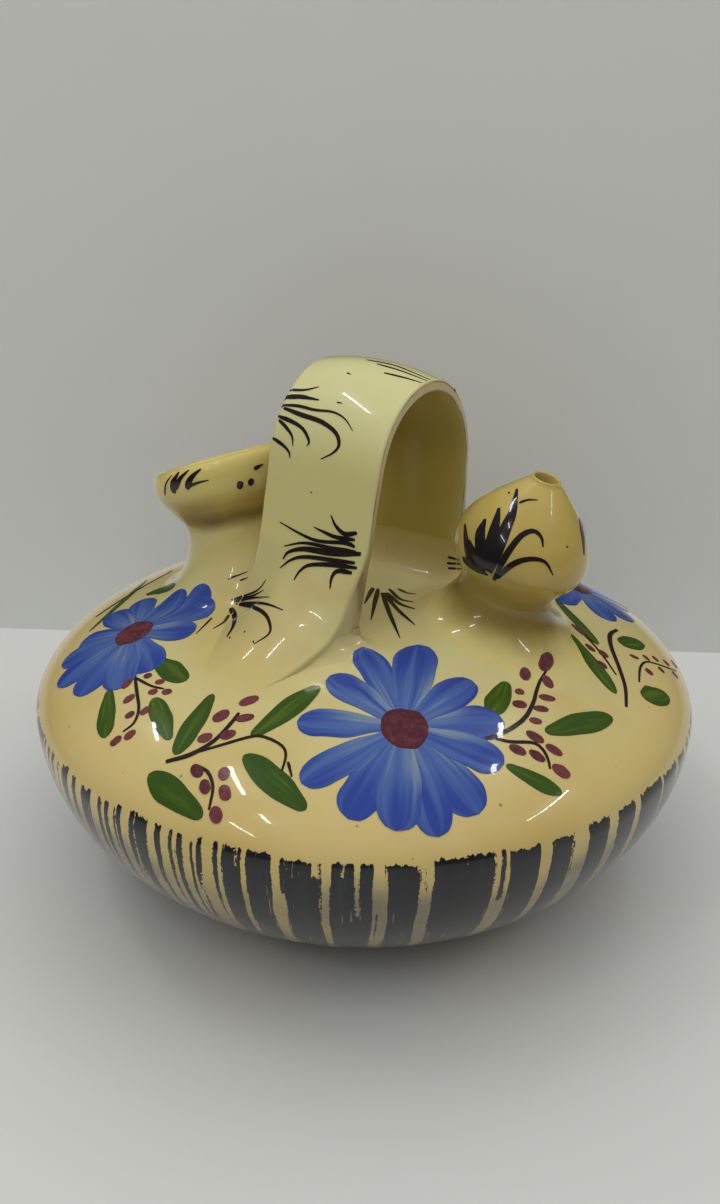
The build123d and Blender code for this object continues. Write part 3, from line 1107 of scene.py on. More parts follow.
class Strap:
    """The strap's path, and the way from its own flat frame to the jug's."""

    def __init__(self, scene):
        self.sizes = scene.jug_strap
        self.outline = Outline(scene)
        self.leans = {FRONT: self.sizes.front_lean, REAR: self.sizes.rear_lean}
        inner = self.sizes.arch - self.sizes.thickness
        self.legs = {side: self.leg(side, self.sizes.arch) for side in self.leans}
        self.inner_legs = {side: self.leg(side, inner) for side in self.leans}
        self.turn = Matrix.Rotation(self.sizes.turn, 4, "Z")

    def leg(self, side, radius):
        return Leg(self.sizes, self.outline, side, self.leans[side], radius)

    def put(self, across, point):
        """A point of the path at a distance across the strap, in the jug's frame."""
        return self.turn @ Vector((across, point.x, point.y - self.tipped(across)))

    def tipped(self, across):
        """How much lower the strap is at a distance across it, as it is tipped towards the spout."""
        return across * math.tan(self.sizes.tip)

    def tongue(self, side, share):
        """A point of a tongue's outer face and the way out of it, from the flare's top to its own end."""
        leg = self.legs[side]
        end = leg.beside_foot(self.sizes.tongue_reach)
        corners = (leg.above_foot(self.sizes.flare_height), leg.above_tangent(end), end)
        way = bezier(*corners, min(share + 0.01, 1.0)) - bezier(*corners, max(share - 0.01, 0.0))
        out = Vector((-way.y, way.x)).normalized() * side
        sink = smooth_step(0.92, 1.0, share) * 0.3 * MM
        return bezier(*corners, share) - out * sink, out

    def ridged(self, side, hand):
        """Only the front tongue keeps a ridge, on the side of the spout. The other sides are smeared out."""
        return side == FRONT and hand == RIGHT

    def half(self, side, hand, share):
        """Half width of a leg on one hand. A ridged tongue draws in, and a smeared one spreads first."""
        point = self.tongue(side, share)[0]
        reach = side * (point.x - self.legs[side].foot.x) - 1 * MM
        taper = min(max(reach / (self.sizes.tongue_reach - 1 * MM), 0.0), 1.0)
        half = blend(self.sizes.width / 2, self.sizes.tongue_end, taper)
        if self.ridged(side, hand):
            return half - smooth_step(0.0, 0.4, share) * RIDGE_DRAWN_IN
        return half + smooth_step(0.12, 0.42, share) * self.sizes.smear

    def fall(self, side, share, across):
        """How far down a tongue's outer face lies, across from its middle. A smeared side meets the dome."""
        hand = LEFT if across < 0 else RIGHT
        point = self.tongue(side, share)[0]
        dome = self.outline.dome(abs(point.x))
        rise = max(point.y - dome, 0.0)
        reach = abs(across) / self.half(side, hand, share)
        beside = dome - self.outline.dome(math.hypot(across, point.x)) - self.tipped(across)
        if self.ridged(side, hand):
            return smooth_step(0.2, 0.5, share) * min(rise * 0.45, RIDGE_FALL) * reach * reach
        dive = 0.25 * MM * smooth_step(0.75, 1.0, reach)
        return smooth_step(0.1, 0.36, share) * (beside + rise * smooth_step(0.15, 1.0, reach) + dive)

    def stations(self):
        """The strap's sections from the front tongue's end over the arch to the rear one's end."""
        legs = {}
        for side in (FRONT, REAR):
            outer = self.legs[side]
            inner = self.inner_legs[side]
            straight = (outer.foot - outer.top).length - self.sizes.flare_height
            sections = []
            for share in steps(14):
                reach = straight * share
                sections.append(Section(self, side, 0, outer.top + outer.down * reach, outer.out,
                                        inner.top + inner.down * reach))
            for share in steps(36)[1:]:
                point, out = self.tongue(side, share)
                reach = straight + (self.sizes.flare_height + 6 * MM) * min(share / 0.4, 1.0)
                sections.append(Section(self, side, share, point, out, inner.top + inner.down * reach))
            legs[side] = sections
        centre = Vector((self.sizes.shift, self.legs[REAR].top.y - self.legs[REAR].out.y * self.sizes.arch))
        arch = []
        for share in steps(46)[1:-1]:
            turn = blend(math.pi - self.leans[FRONT], self.leans[REAR], share)
            out = Vector((math.cos(turn), math.sin(turn)))
            hump = math.sin(math.pi * share) ** 2
            outer = centre + out * (self.sizes.arch + self.sizes.hump * hump)
            inner = centre + out * (self.sizes.arch - self.sizes.thickness + 1 * MM * hump)
            arch.append(Section(self, FRONT, 0, outer, out, inner, blend(LEG_CROWN, self.sizes.crown, hump)))
        return list(reversed(legs[FRONT])) + arch + legs[REAR]


class Section:
    """One cross-section of the strap: its points in turn round the strap, with how worn each is."""

    def __init__(self, strap, side, share, outer, out, inner, crown=LEG_CROWN):
        self.outer = outer
        self.out = out
        self.inner = inner
        self.strap = strap
        self.side = side
        self.share = share
        self.crown = crown
        self.thinned = outer.lerp(inner, 1 - strap.sizes.thinning * (1 - smooth_step(0.0, 0.3, share)))
        self.halves = {hand: strap.half(side, hand, share) for hand in (LEFT, RIGHT)}
        self.edge = min(strap.sizes.edge, min(self.halves.values()) * 0.9)
        self.wear = 1 - smooth_step(0.05, 0.5, share)
        self.upright = smooth_step(0.1, 0.35, share)

    def face(self, across):
        """A point of the outer face, which is crowned a little."""
        lower = self.crown * (across / self.halves[LEFT if across < 0 else RIGHT]) ** 2
        return self.outer - self.out * lower - Vector((0, self.strap.fall(self.side, self.share, across)))

    def points(self, number):
        """The section's points, swayed a little from one section to the next."""
        sway = 1 + noise.noise(Vector((number * 0.09, 3.1, 0))) * 0.022
        found = self.flat_points()
        return [self.strap.put(across * sway, point) for across, point, rim, under in found], found

    def flat_points(self):
        """Each point's place across the strap and on its path, and its share of rim and of underside, which
        takes painted shade.
        """
        face = []
        low = self.edge - self.halves[LEFT]
        high = self.halves[RIGHT] - self.edge
        rim = 0.4 * MM
        for across in [low] + [blend(low + rim, high - rim, share) for share in steps(24)] + [high]:
            face.append((across, self.face(across), 0.0, 0.0))
        right = self.side_points(RIGHT)
        left = self.side_points(LEFT)
        inner = []
        for share in steps(10)[1:-1]:
            deep = 1 - (2 * share - 1) ** 2
            across = blend(right[-1][0], left[-1][0], share)
            inner.append((across, self.low_edge().lerp(self.inner, deep), 0.0, 1.0))
        return face + right + inner + list(reversed(left))

    def low_edge(self):
        """Where the inner face starts at the strap's edges, which are thinner than its middle."""
        return self.thinned - self.out * (self.crown - LEG_CROWN)

    def side_points(self, hand):
        """The rounded outer edge, the side and the inner edge on one hand. A tongue's side is upright."""
        half = self.halves[hand]
        edge = self.edge
        start = self.face(hand * (half - edge))
        points = []
        for turn in (18, 36, 54, 72, 90):
            lean = math.radians(turn)
            point = start - self.out * edge * (1 - math.cos(lean))
            across = hand * (half - edge + edge * math.sin(lean))
            points.append((across, point, math.sin(lean) ** 2 * self.wear, 0.0))
        corner = points[-1][1]
        below = Vector((corner.x, self.strap.outline.dome(math.hypot(half, corner.x)) - 3 * MM))
        for share, inset, rim in ((0.3, 0, 1.0), (0.6, 0, 1.0), (0.85, 0, 0.9), (0.95, 0.25 * MM, 0.8)):
            place = corner.lerp(self.low_edge(), share).lerp(corner.lerp(below, share), self.upright)
            points.append((hand * (half - inset), place, rim * self.wear, 0.0))
        inset = min(self.strap.sizes.width / 2, half) - 1 * MM
        points.append((hand * inset, self.low_edge(), 0.3 * self.wear, 0.7))
        return points


# How far a fillet climbs a side at most in mm, its climb as a share of the side's height, its spread in mm,
# and the power by which the spread follows the climb
FILLETS = {
    (FRONT, RIGHT): (5, 0.93, 4.5, 0.9),
    (FRONT, LEFT): (7, 1.0, 8, 1.0),
    (REAR, RIGHT): (4, 1.0, 4.5, 1.0),
    (REAR, LEFT): (4, 1.0, 4.5, 1.0),
}

# How far along a tongue its fillet starts, the steps from there to the leg, and how much painted shade each
# root's top takes
FILLET_START = 0.93
FILLET_STEPS = 56
ROOT_SHADE = {FRONT: 0.2, REAR: 0.8}


class JUG_OT_strap(Operator):
    """Bend the strap into its arch, smear its tongues over the dome and fill the angle round its feet"""

    bl_idname = "jug.strap"
    bl_label = "Strap handle"

    def execute(self, context):
        scene = context.scene
        colours = scene.jug_colours
        strap = Strap(scene)
        material = strap_material("handle_glaze", colours)
        rings = []
        marks = []
        run = 0.0
        stations = strap.stations()
        for number, section in enumerate(stations):
            run += (section.outer - stations[max(number - 1, 0)].outer).length
            points, found = section.points(number)
            rings.append(points)
            marks += [(rim, under, run) for across, point, rim, under in found]
        bm = skinned(rings, closed=False)
        layers = [bm.verts.layers.float.new(name) for name in ("rim", "under", "run")]
        for vert, values in zip(bm.verts, marks):
            for layer, value in zip(layers, values):
                vert[layer] = value
        crease(bm, 75)
        finish_piece("strap_band", bm, material, "handle_glaze", "handle_strap")
        band = joined_skin(("strap_band",))
        skin = joined_skin(("dome_skin", "mouth_flare", "spout_flare"))
        for side, name in ((FRONT, "front_root"), (REAR, "rear_root")):
            finish_piece(name, self.fillet(strap, band, skin, side), material, "handle_glaze", f"{name}_coil")
        return {"FINISHED"}

    def footprint(self, strap, side):
        """A walk round a leg's foot, from its tongue's end round its inner face and back.

        Each step has its place, its way out, and how far the fillet climbs the strap and spreads there.
        """
        sizes = strap.sizes
        inner = strap.inner_legs[side].foot.x
        climb = sizes.front_rise if side == FRONT else sizes.rear_rise
        run_out = sizes.front_run if side == FRONT else sizes.rear_run
        walks = {}
        for hand in (LEFT, RIGHT):
            limit, part, spread, power = FILLETS[(side, hand)]
            walk = []
            for number in range(FILLET_STEPS, -1, -1):
                share = FILLET_START * number / FILLET_STEPS
                point = strap.tongue(side, share)[0]
                across = hand * strap.half(side, hand, share)
                top = point.y - strap.fall(side, share, across) - strap.tipped(across)
                rise = top - strap.outline.dome(math.hypot(across, point.x))
                if side * (point.x - inner) < 0:
                    break
                height = min(limit * MM, max(rise - sizes.edge, 0.0) * part)
                if not walk and height < 0.3 * MM:
                    continue
                height *= min((len(walk) + 1) / 8, 1.0)
                reach = 0.5 * MM + spread * MM * (height / (limit * MM)) ** power
                walk.append((across, point.x, (hand, 0), height, reach))
            across = walk[-1][0]
            for turn in (15, 30, 45, 60, 75):
                lean = math.radians(turn)
                way = (hand * math.cos(lean), -side * math.sin(lean))
                height = blend(walk[-1][3], climb, 0.2)
                walk.append((across, inner, way, height, blend(walk[-1][4], run_out, 0.2)))
            walks[hand] = walk
        start = walks[RIGHT][-1][0]
        end = walks[LEFT][-1][0]
        middle = []
        for share in steps(16):
            middle.append((blend(start, end, share), inner, (0, -side), climb, run_out))
        return walks[RIGHT] + middle + list(reversed(walks[LEFT]))

    def height(self, skin, place):
        """Height of a skin under a place, or none beside it."""
        hit = skin.ray_cast(Vector((place.x, place.y, 0.2)), -UP)[0]
        return hit.z if hit else 0.0

    def leaves(self, strap, band, skin, step):
        """Where a fillet leaves the strap, as reach and height over the dome, and its way there."""
        across, along, way, climb, spread = step
        foot = strap.put(across, Vector((along, 0)))
        beside = strap.put(across + way[0] * 8 * MM, Vector((along + way[1] * 8 * MM, 0)))
        foot.z = beside.z = self.height(skin, foot) + climb
        outward = (beside - foot).normalized()
        hit, normal = band.ray_cast(beside, -outward, 16 * MM)[:2]
        if not hit:
            return Vector((-0.3 * MM, climb)), Vector((0, -1))
        reach = (hit - foot).dot(outward)
        return Vector((reach - 0.05 * MM, climb)), Vector((normal.z, -normal.dot(outward))).normalized()

    def fillet(self, strap, band, skin, side):
        """A hollow-curved fillet of clay round a leg's foot, which runs out level with the dome."""
        walk = self.footprint(strap, side)
        starts = [self.leaves(strap, band, skin, step) for step in walk]
        bm = bmesh.new()
        ways = bm.verts.layers.float_vector.new("way")
        under = [bm.verts.layers.float.new(name) for name in ("rim", "run", "under")][-1]
        grid = bmesh.ops.create_grid(bm, x_segments=18, y_segments=len(walk) - 1, size=1)["verts"]
        for vert in grid:
            number = round((vert.co.y + 1) / 2 * (len(walk) - 1))
            share = (vert.co.x + 1) / 2
            across, along, way, climb, spread = walk[number]
            start, start_way = starts[number]
            end = Vector((spread, 0))
            chord = (end - start).length
            reach, rise = hermite(start, start_way * chord, end, Vector((chord, 0)), share)
            place = strap.put(across + way[0] * reach, Vector((along + way[1] * reach, 0)))
            place.z = self.height(skin, place) + rise - 0.04 * MM
            vert.co = place
            vert[ways] = -UP
            # Painted shade in the angle between the leg and the dome, fading outwards
            vert[under] = abs(way[1]) * ROOT_SHADE[side] * (1 - share)
        thickened(bm, 0.4 * MM, ways)
        crease(bm, 75)
        return bm


# Painted ornament. Places are the photograph's own, read off it, and each stroke is laid on the piece that it
# shows there. Widths are in the photograph's points, except those of petals, which are half widths in mm.

FRONT_HEART = (404.5, 728)
FRONT_PETALS = (
    (363, 647, 4.0), (418, 645, 5.4), (472, 681, 4.4), (504, 722, 5.0), (504, 764, 4.6), (479, 814, 5.2),
    (439, 837, 4.4), (396, 831, 4.8), (348, 819, 4.8), (301, 783, 4.2), (297, 722, 4.4), (330, 676, 4.2),
)
LEFT_HEART = (134, 633)
LEFT_PETALS = (
    (209, 586, 4.4), (215, 602, 4.6), (195, 631, 4.8), (151, 671, 5.0), (117, 690, 4.8), (80, 697, 4.6),
    (58.5, 688, 4.6), (62, 666, 4.4), (81.5, 643, 4.4), (112, 614, 4.2), (145, 599, 4.2), (181, 589, 4.2),
)
LEFT_LEAVES = (
    (109, 690, 105, 738, 20), (153, 657, 186, 681, 24), (170, 740, 154, 698, 23), (213, 694, 175, 755, 22),
    (251, 737, 319, 686, 26), (202, 818, 149, 774, 30), (306, 810, 244, 755, 30), (146, 595, 175, 586, 16),
    (89, 632, 147, 580, 8),
)
RIGHT_LEAVES = (
    (507, 682, 491, 715, 25), (545, 732, 612, 717, 28), (506, 765, 562, 794, 19), (571, 634, 616, 694, 17),
    (556, 600, 598, 645, 15),
)
ROUND_LEAVES = ((631, 643, 11.5, 11.5, 0), (655, 696, 13.2, 13.2, 0))
LEFT_STEMS = (
    (4.5, (166, 762), (190, 755), (214, 741), (233, 721), (239, 713)),
    (3, (192, 754), (222, 745), (250, 737), (264, 737), (281, 745), (286, 755), (282, 771)),
    (2.5, (288, 762), (292, 777)),
    (3, (135, 675), (137, 692), (139, 709), (134, 723), (123, 732)),
    (2.5, (136, 678), (151, 686), (164, 689)),
    (3.2, (201, 767), (209, 774), (213, 788), (209, 810)),
    (2, (96, 617), (120, 601), (150, 583), (172, 571)),
)
RIGHT_STEMS = (
    (4, (485, 739), (505, 732), (524, 719), (533, 703), (536, 692), (540, 681), (546, 671)),
    (3.4, (496, 739), (511, 742), (533, 743), (543, 750), (548, 760), (550, 769)),
    (4, (617, 630), (610, 635), (611, 647), (619, 668), (625, 687), (626, 707)),
    (2.2, (572, 625), (590, 641), (605, 659), (616, 675)),
    (2.2, (639, 682), (640, 668), (646, 662), (659, 665), (676, 671)),
)
LEFT_BERRIES = (
    (127, 684, 6.5, 4.5, -50), (129, 699, 7, 4.6, -40), (130, 715, 5.6, 4.2, -35), (145, 711, 6, 4.2, -45),
    (148, 676, 4, 4, 0), (160, 682, 4.6, 4, 0), (153, 692, 4.6, 4.2, 0), (167, 692, 5, 4.4, 0),
    (130, 735, 7.2, 4.8, -40), (116, 741, 7.2, 4.8, -40), (205, 738, 8.2, 5.8, -22), (221, 716, 9.4, 7, -35),
    (249, 701, 10.6, 6, -20), (245, 718, 9.6, 5.4, -10), (228, 735, 8.6, 5.8, -20), (197, 771, 7, 6.2, 60),
    (205, 787, 7.4, 5.8, 80), (224, 774, 6.6, 6.2, 90), (225, 793, 8, 6.4, 70), (216, 815, 8.8, 6.8, 75),
)
RIGHT_BERRIES = (
    (546, 662, 9.5, 7.4, -65), (525, 674, 6.4, 6, 90), (519.5, 692, 4.6, 4.4, 0), (519.5, 704.5, 7.4, 5.6, 5),
    (547.5, 682, 7.5, 5.6, 60), (547, 698, 8.6, 4.8, 10), (541, 709, 7.6, 4.4, 5), (535.5, 721, 6.6, 4.4, 10),
    (535, 737, 10.4, 5.6, 32), (517.5, 750, 9.4, 5.6, 25), (537, 756, 9.6, 5.2, 36), (554, 750, 9.8, 5.2, 32),
    (561, 771, 10.6, 6.6, 32), (578, 630, 9, 4, 42), (590, 648, 6.4, 3.8, 38), (603, 654, 6, 4.4, 42),
    (602, 665, 6, 4, 42), (634, 657, 5, 2.6, 22), (646, 658, 4.6, 2.8, 40), (655, 659, 4.4, 2.6, 42),
    (666, 663, 4.4, 2.6, 45), (674, 664, 5, 2.6, 55), (649, 672, 5, 3.8, 45), (661, 670, 4.4, 2.8, 45),
    (675, 675, 4.6, 2.8, 50),
)
STRAP_TUFTS = (
    (3, (290, 390), (305, 390), (319, 387)),
    (5.5, (285, 397), (302, 397), (319, 400)),
    (3, (281, 405), (298, 406), (315, 410), (333, 412), (345, 419), (353, 431)),
    (4.6, (284, 408), (302, 415), (322, 422), (336, 433), (339, 445), (333, 453), (321, 459)),
    (4.2, (278, 416), (291, 421), (303, 429), (309, 441), (307, 446)),
    (3.6, (279, 420), (286, 427), (292, 436), (293, 446)),
    (3.4, (273, 438), (283, 445), (289, 452), (290, 458)),
    (2.6, (384, 373), (405, 378), (422, 383)),
    (2.6, (377, 364), (401, 371), (427, 381)),
    (2.4, (367, 360), (396, 366), (430, 380)),
    (1.6, (347, 373), (351, 374.5)), (1.5, (337, 402.5), (342.5, 403.3)), (1.5, (311, 492), (312, 493)),
    (4.8, (357, 533), (345, 534), (336, 526), (331, 515)),
    (4.4, (355, 540), (336, 537), (324, 532), (314, 527)),
    (4.4, (355, 547), (345, 543), (319, 541), (301, 534), (280, 522)),
    (4.4, (356, 552), (331, 548), (305, 543), (284, 546)),
    (6.4, (361, 554), (332, 553), (305, 549), (289, 552), (283, 559)),
    (4.8, (355, 563), (331, 560), (305, 557), (291, 560), (280, 568)),
    (4.8, (357, 568), (332, 565), (310, 565), (300, 571), (294, 580)),
    (4.8, (352, 573), (338, 571), (332, 577), (330, 589)),
)
DOME_TUFTS = (
    (4.8, (373, 588), (364.5, 604)),
    (5, (378, 589), (371, 620)),
    (4.6, (382, 593), (391, 617), (400, 638)),
    (4.4, (384, 593), (398, 610), (415, 625)),
    (4, (387, 593), (400, 604), (415, 609)),
    (3.6, (389, 589), (400, 599), (413, 602)),
    (3.4, (398, 589), (407, 593), (416, 594)),
    (2.2, (231, 600), (252, 593), (260, 588), (266, 580)),
    (2.4, (233, 600), (252, 596), (264, 590)),
    (2.6, (234, 602), (252, 598), (270, 597)),
    (3.2, (236, 604), (257, 603), (270, 605), (283, 610)),
    (4, (238, 604), (253, 607), (265, 614), (270, 624), (269, 634), (254, 644)),
    (7, (231, 608), (235, 617), (233, 627), (227, 637)),
    (3.4, (229, 615), (224, 622), (213, 629)),
    (2.4, (212, 618), (196, 634)),
    (1.8, (228, 579), (248, 571.5)),
    (1.6, (240, 580.5), (248, 577.5)),
    (1.6, (245, 631), (245, 633)), (1.6, (230, 637), (230, 639)), (1.6, (253, 641), (254, 643)),
)
SPOUT_TUFTS = (
    (9, (463, 559), (474, 568), (488, 575)),
    (10, (478, 571), (469, 556), (466, 538), (465, 524)),
    (12, (483, 573), (474, 555), (469, 540)),
    (15, (485, 570), (480, 538), (485, 519)),
    (15, (487, 570), (493, 536), (499, 508)),
    (12, (489, 572), (505, 530), (513, 510), (517, 489)),
    (2.6, (519, 503), (528, 500), (538, 500)),
    (6.5, (494, 580), (505, 557), (520, 537), (533, 531), (541, 537), (543, 547)),
    (6, (497, 578), (513, 564), (530, 559), (545, 562), (553, 575)),
    (9, (580, 520), (583, 538), (584, 555)),
    (2, (509, 492), (509, 494)), (2, (567, 546), (567, 548)),
)
SPOUT_FOOT_TUFTS = (
    (2.2, (448, 557), (460, 560)), (2.4, (447, 563), (461, 564)), (2.2, (448, 568), (462, 569)),
)
LIP_TUFTS = (
    (2.6, (165, 495), (166, 484), (172, 475)),
    (8, (174, 493), (173, 483), (179, 472)),
    (5.5, (176, 489), (180, 479), (189, 470)),
    (6.5, (187, 489), (191, 478), (201, 469)),
    (3.4, (187, 487), (197, 483), (209, 480)),
    (4, (254, 469), (263, 464)),
)
LIP_DOTS = ((240, 485, 4.2, 3.5, 100), (251, 482, 3.8, 3.3, 100))

STEM_SHAPE = (0.75, 1.0, 0.95, 0.85, 0.75, 0.55)
GRASS_SHAPE = (0.6, 1.0, 1.0, 0.9, 0.78, 0.6, 0.42, 0.2)


def rounded(reach):
    """Half width of a round end, from 1 where it starts at 0 to almost nothing at 1."""
    return math.sqrt(max(1 - max(reach, 0.0) ** 2, 0.001))


def petal_width(share):
    """Half width along a petal, from its narrow foot to its round tip."""
    return blend(0.42, 1.0, smooth_step(0.0, 0.65, share)) * rounded((share - 0.76) / 0.24)


def leaf_width(share):
    """Half width along a leaf, from its narrow foot to its blunt tip."""
    body = blend(0.36, 1.0, smooth_step(-0.1, 0.55, share))
    return body * rounded((0.1 - share) / 0.1) * rounded((share - 0.58) / 0.42)


PETAL_SHAPE = tuple(petal_width(share) for share in steps(40))
LEAF_SHAPE = tuple(leaf_width(share) for share in steps(40))
DOT_SHAPE = tuple(rounded(abs(2 * share - 1)) for share in steps(40))


class Brush:
    """Lays strokes of one paint on the skins of some pieces."""

    def __init__(self, scene, carriers):
        self.skin = joined_skin(carriers)
        self.level = "dome_skin" in carriers
        self.sizes = scene.jug_paint
        self.chance = random.Random(scene.jug_paint.seed)
        self.bm = bmesh.new()
        self.layers = [self.bm.verts.layers.float.new(name) for name in ("along", "across", "tone")]
        self.ways = self.bm.verts.layers.float_vector.new("way")
        self.copies = ()
        self.unseen_only = True

    def settle(self, point):
        """The nearest place on the skin, outermost where two pieces overlap, and the way out of it."""
        place, normal = self.skin.find_nearest(point)[:2]
        for above in (UP, normal) if self.level else (normal,):
            hit, facing = self.skin.ray_cast(place + above * 3 * MM, -above, 6 * MM)[:2]
            if hit and facing.dot(above) > 0.3:
                return hit, facing
        return place, normal

    def seen(self, place):
        """Whether the photograph shows a place on the skin."""
        eye = Vector(CAMERA_PLACE)
        hit = self.skin.ray_cast(eye, (place - eye).normalized())[0]
        return hit is not None and (hit - place).length < 2 * MM

    def land(self, pixel):
        """The place on the skin that a point of the photograph shows. One past the outline is drawn in."""
        for number in range(12):
            inward = number * 0.006
            across = blend(pixel[0], PHOTO_CENTRE[0], inward)
            up = blend(pixel[1], PHOTO_CENTRE[1], inward)
            hit = self.skin.ray_cast(Vector(CAMERA_PLACE), sight((across, up)))[0]
            if hit:
                return hit
        raise RuntimeError(f"no piece is seen at {pixel}")

    def scale(self, place):
        """Metres to one of the photograph's points, at a place."""
        return -(camera_matrix().inverted() @ place).z / PHOTO_FOCAL

    def stroke(self, spine, half, shape, lift, rows, columns):
        """A stroke along a spine, and its copies on the sides that the photograph doesn't show."""
        self.lay(spine, half, shape, lift, rows, columns)
        for copy in self.copies:
            moved = [copy @ place for place in spine]
            places = [self.settle(through(moved, share))[0] for share in steps(10)]
            if not (self.unseen_only and any(self.seen(place) for place in places)):
                self.lay(moved, half, shape, lift, rows, columns)

    def lay(self, spine, half, shape, lift, rows, columns):
        tone = self.chance.random()
        grid = bmesh.ops.create_grid(self.bm, x_segments=columns, y_segments=rows, size=1)["verts"]
        for vert in grid:
            across = vert.co.x
            along = (1 - math.cos(math.pi * (vert.co.y + 1) / 2)) / 2
            ahead = through(spine, min(along + 0.02, 1))
            behind = through(spine, max(along - 0.02, 0))
            place, normal = self.settle(through(spine, along))
            aside = (ahead - behind).cross(normal).normalized()
            wobble = 1 + 0.16 * noise.noise(Vector((along * 3.5, across * 0.8 + tone * 50, tone * 90)))
            reach = half * through(shape, along) * wobble * across
            place, normal = self.settle(place + aside * reach)
            vert.co = place + normal * (self.sizes.lift + lift)
            vert[self.ways] = -normal
            for layer, value in zip(self.layers, (along, across, tone)):
                vert[layer] = value

    def line(self, width, pixels, shape, lift, rows, columns):
        """A stroke through points of the photograph, broken where one piece hides another."""
        path = [Vector(pixel) for pixel in pixels]
        shares = steps(12 * (len(path) - 1))
        places = [self.land(through(path, share)) for share in shares]
        usual = sorted((end - start).length for start, end in zip(places, places[1:]))[len(places) // 2]
        runs = [[0]]
        for number in range(1, len(places)):
            if (places[number] - places[number - 1]).length > 4 * usual + 1 * MM:
                runs.append([])
            runs[-1].append(number)
        for run in runs:
            if len(run) > 1:
                spine = [places[number] for number in run]
                first, last = shares[run[0]], shares[run[-1]]
                part = shape
                if len(runs) > 1:
                    part = [through(shape, blend(first, last, share)) for share in steps(12)]
                self.stroke(spine, width / 2 * self.scale(spine[0]), part, lift, rows, columns)

    def dab(self, across, up, half_length, half_width, turn, lift):
        """A round or oval dab, with its turn in the photograph in degrees."""
        way = Vector((math.cos(math.radians(turn)), math.sin(math.radians(turn)))) * half_length
        middle = Vector((across, up))
        self.line(2 * half_width, (middle - way, middle + way), DOT_SHAPE, lift, 16, 8)

    def finish(self, name, material, slot):
        """Gives the strokes their thickness, down into the glaze, and makes them one piece."""
        thickened(self.bm, self.sizes.depth, self.ways)
        crease(self.bm, TURNED_CREASE)
        return finish_piece(name, self.bm, material, slot)


DOME_CARRIERS = ("dome_skin", "mouth_flare", "spout_flare", "strap_band", "front_root", "rear_root")

# Each daisy's heart and petal tips, the half width of its heart in the photograph's points, and how much its
# copy on the far side is drawn out and turned further, in degrees
DAISIES = ((FRONT_HEART, FRONT_PETALS, 24, 1.0, 0), (LEFT_HEART, LEFT_PETALS, 19, 1.09, 9))

# How far each paint stands over the first one
LEAF_LIFT = 0.02 * MM
GRASS_LIFT = 0.03 * MM
STEM_LIFT = 0.06 * MM
BERRY_LIFT = 0.09 * MM
HEART_LIFT = 0.14 * MM


def round_copies(place, degrees):
    """Turns about a leaning neck's axis."""
    back = place.inverted()
    return tuple(place @ Matrix.Rotation(math.radians(turn), 4, "Z") @ back for turn in degrees)


def half_turn(across, along, further=0):
    """The far side of the jug: half a turn and some degrees about its axis, drawn out along X and Y."""
    return Matrix.Diagonal((across, along, 1, 1)) @ Matrix.Rotation(math.pi + math.radians(further), 4, "Z")


class JUG_OT_flowers(Operator):
    """Paint the blue daisies with their hearts round the dome"""

    bl_idname = "jug.flowers"
    bl_label = "Daisies"

    def execute(self, context):
        scene = context.scene
        colours = scene.jug_colours
        petals = Brush(scene, DOME_CARRIERS)
        hearts = Brush(scene, DOME_CARRIERS)
        for heart, tips, size, grow, further in DAISIES:
            for brush in (petals, hearts):
                brush.copies = (half_turn(grow, grow, further),)
                brush.unseen_only = False
            middle = petals.land(heart)
            for number, (across, up, half) in enumerate(tips):
                tip = petals.land((across, up))
                spine = [middle.lerp(tip, 0.1), middle.lerp(tip, 0.55), tip]
                petals.stroke(spine, half * MM, PETAL_SHAPE, (number * 5 % 12) * 0.01 * MM, 26, 12)
            reach = size * hearts.scale(middle)
            way = (petals.land((heart[0] + 20, heart[1])) - middle).normalized() * reach
            hearts.stroke([middle - way, middle, middle + way], reach * 1.16, DOT_SHAPE, HEART_LIFT, 26, 14)
        petals.finish("daisy_petals", petal_material(colours), "dome_glaze")
        heart = dab_material("heart_red", colours.heart, colours.berry)
        hearts.finish("daisy_hearts", heart, "dome_glaze")
        return {"FINISHED"}


class JUG_OT_garlands(Operator):
    """Paint the leaves, stems and berries between the daisies"""

    bl_idname = "jug.garlands"
    bl_label = "Garlands"

    def execute(self, context):
        scene = context.scene
        colours = scene.jug_colours
        copies = (half_turn(1.0, 1.0),)
        leaves = Brush(scene, DOME_CARRIERS)
        leaves.copies = copies
        for across, up, end_across, end_up, width in LEFT_LEAVES + RIGHT_LEAVES:
            leaves.line(width, ((across, up), (end_across, end_up)), LEAF_SHAPE, LEAF_LIFT, 20, 10)
        for dab in ROUND_LEAVES:
            leaves.dab(*dab, LEAF_LIFT)
        leaves.finish("leaves", leaf_material(colours), "dome_glaze")
        stems = Brush(scene, DOME_CARRIERS)
        stems.copies = copies
        for width, *pixels in LEFT_STEMS + RIGHT_STEMS:
            stems.line(width * 1.2, pixels, STEM_SHAPE, STEM_LIFT, 24, 4)
        stems.finish("stems", dab_material("stem_brown", colours.stem, colours.ink), "dome_glaze")
        berries = Brush(scene, DOME_CARRIERS)
        berries.copies = copies
        for dab in LEFT_BERRIES + RIGHT_BERRIES:
            berries.dab(*dab, BERRY_LIFT)
        berries.finish("berries", dab_material("berry_red", colours.berry, colours.heart), "dome_glaze")
        return {"FINISHED"}


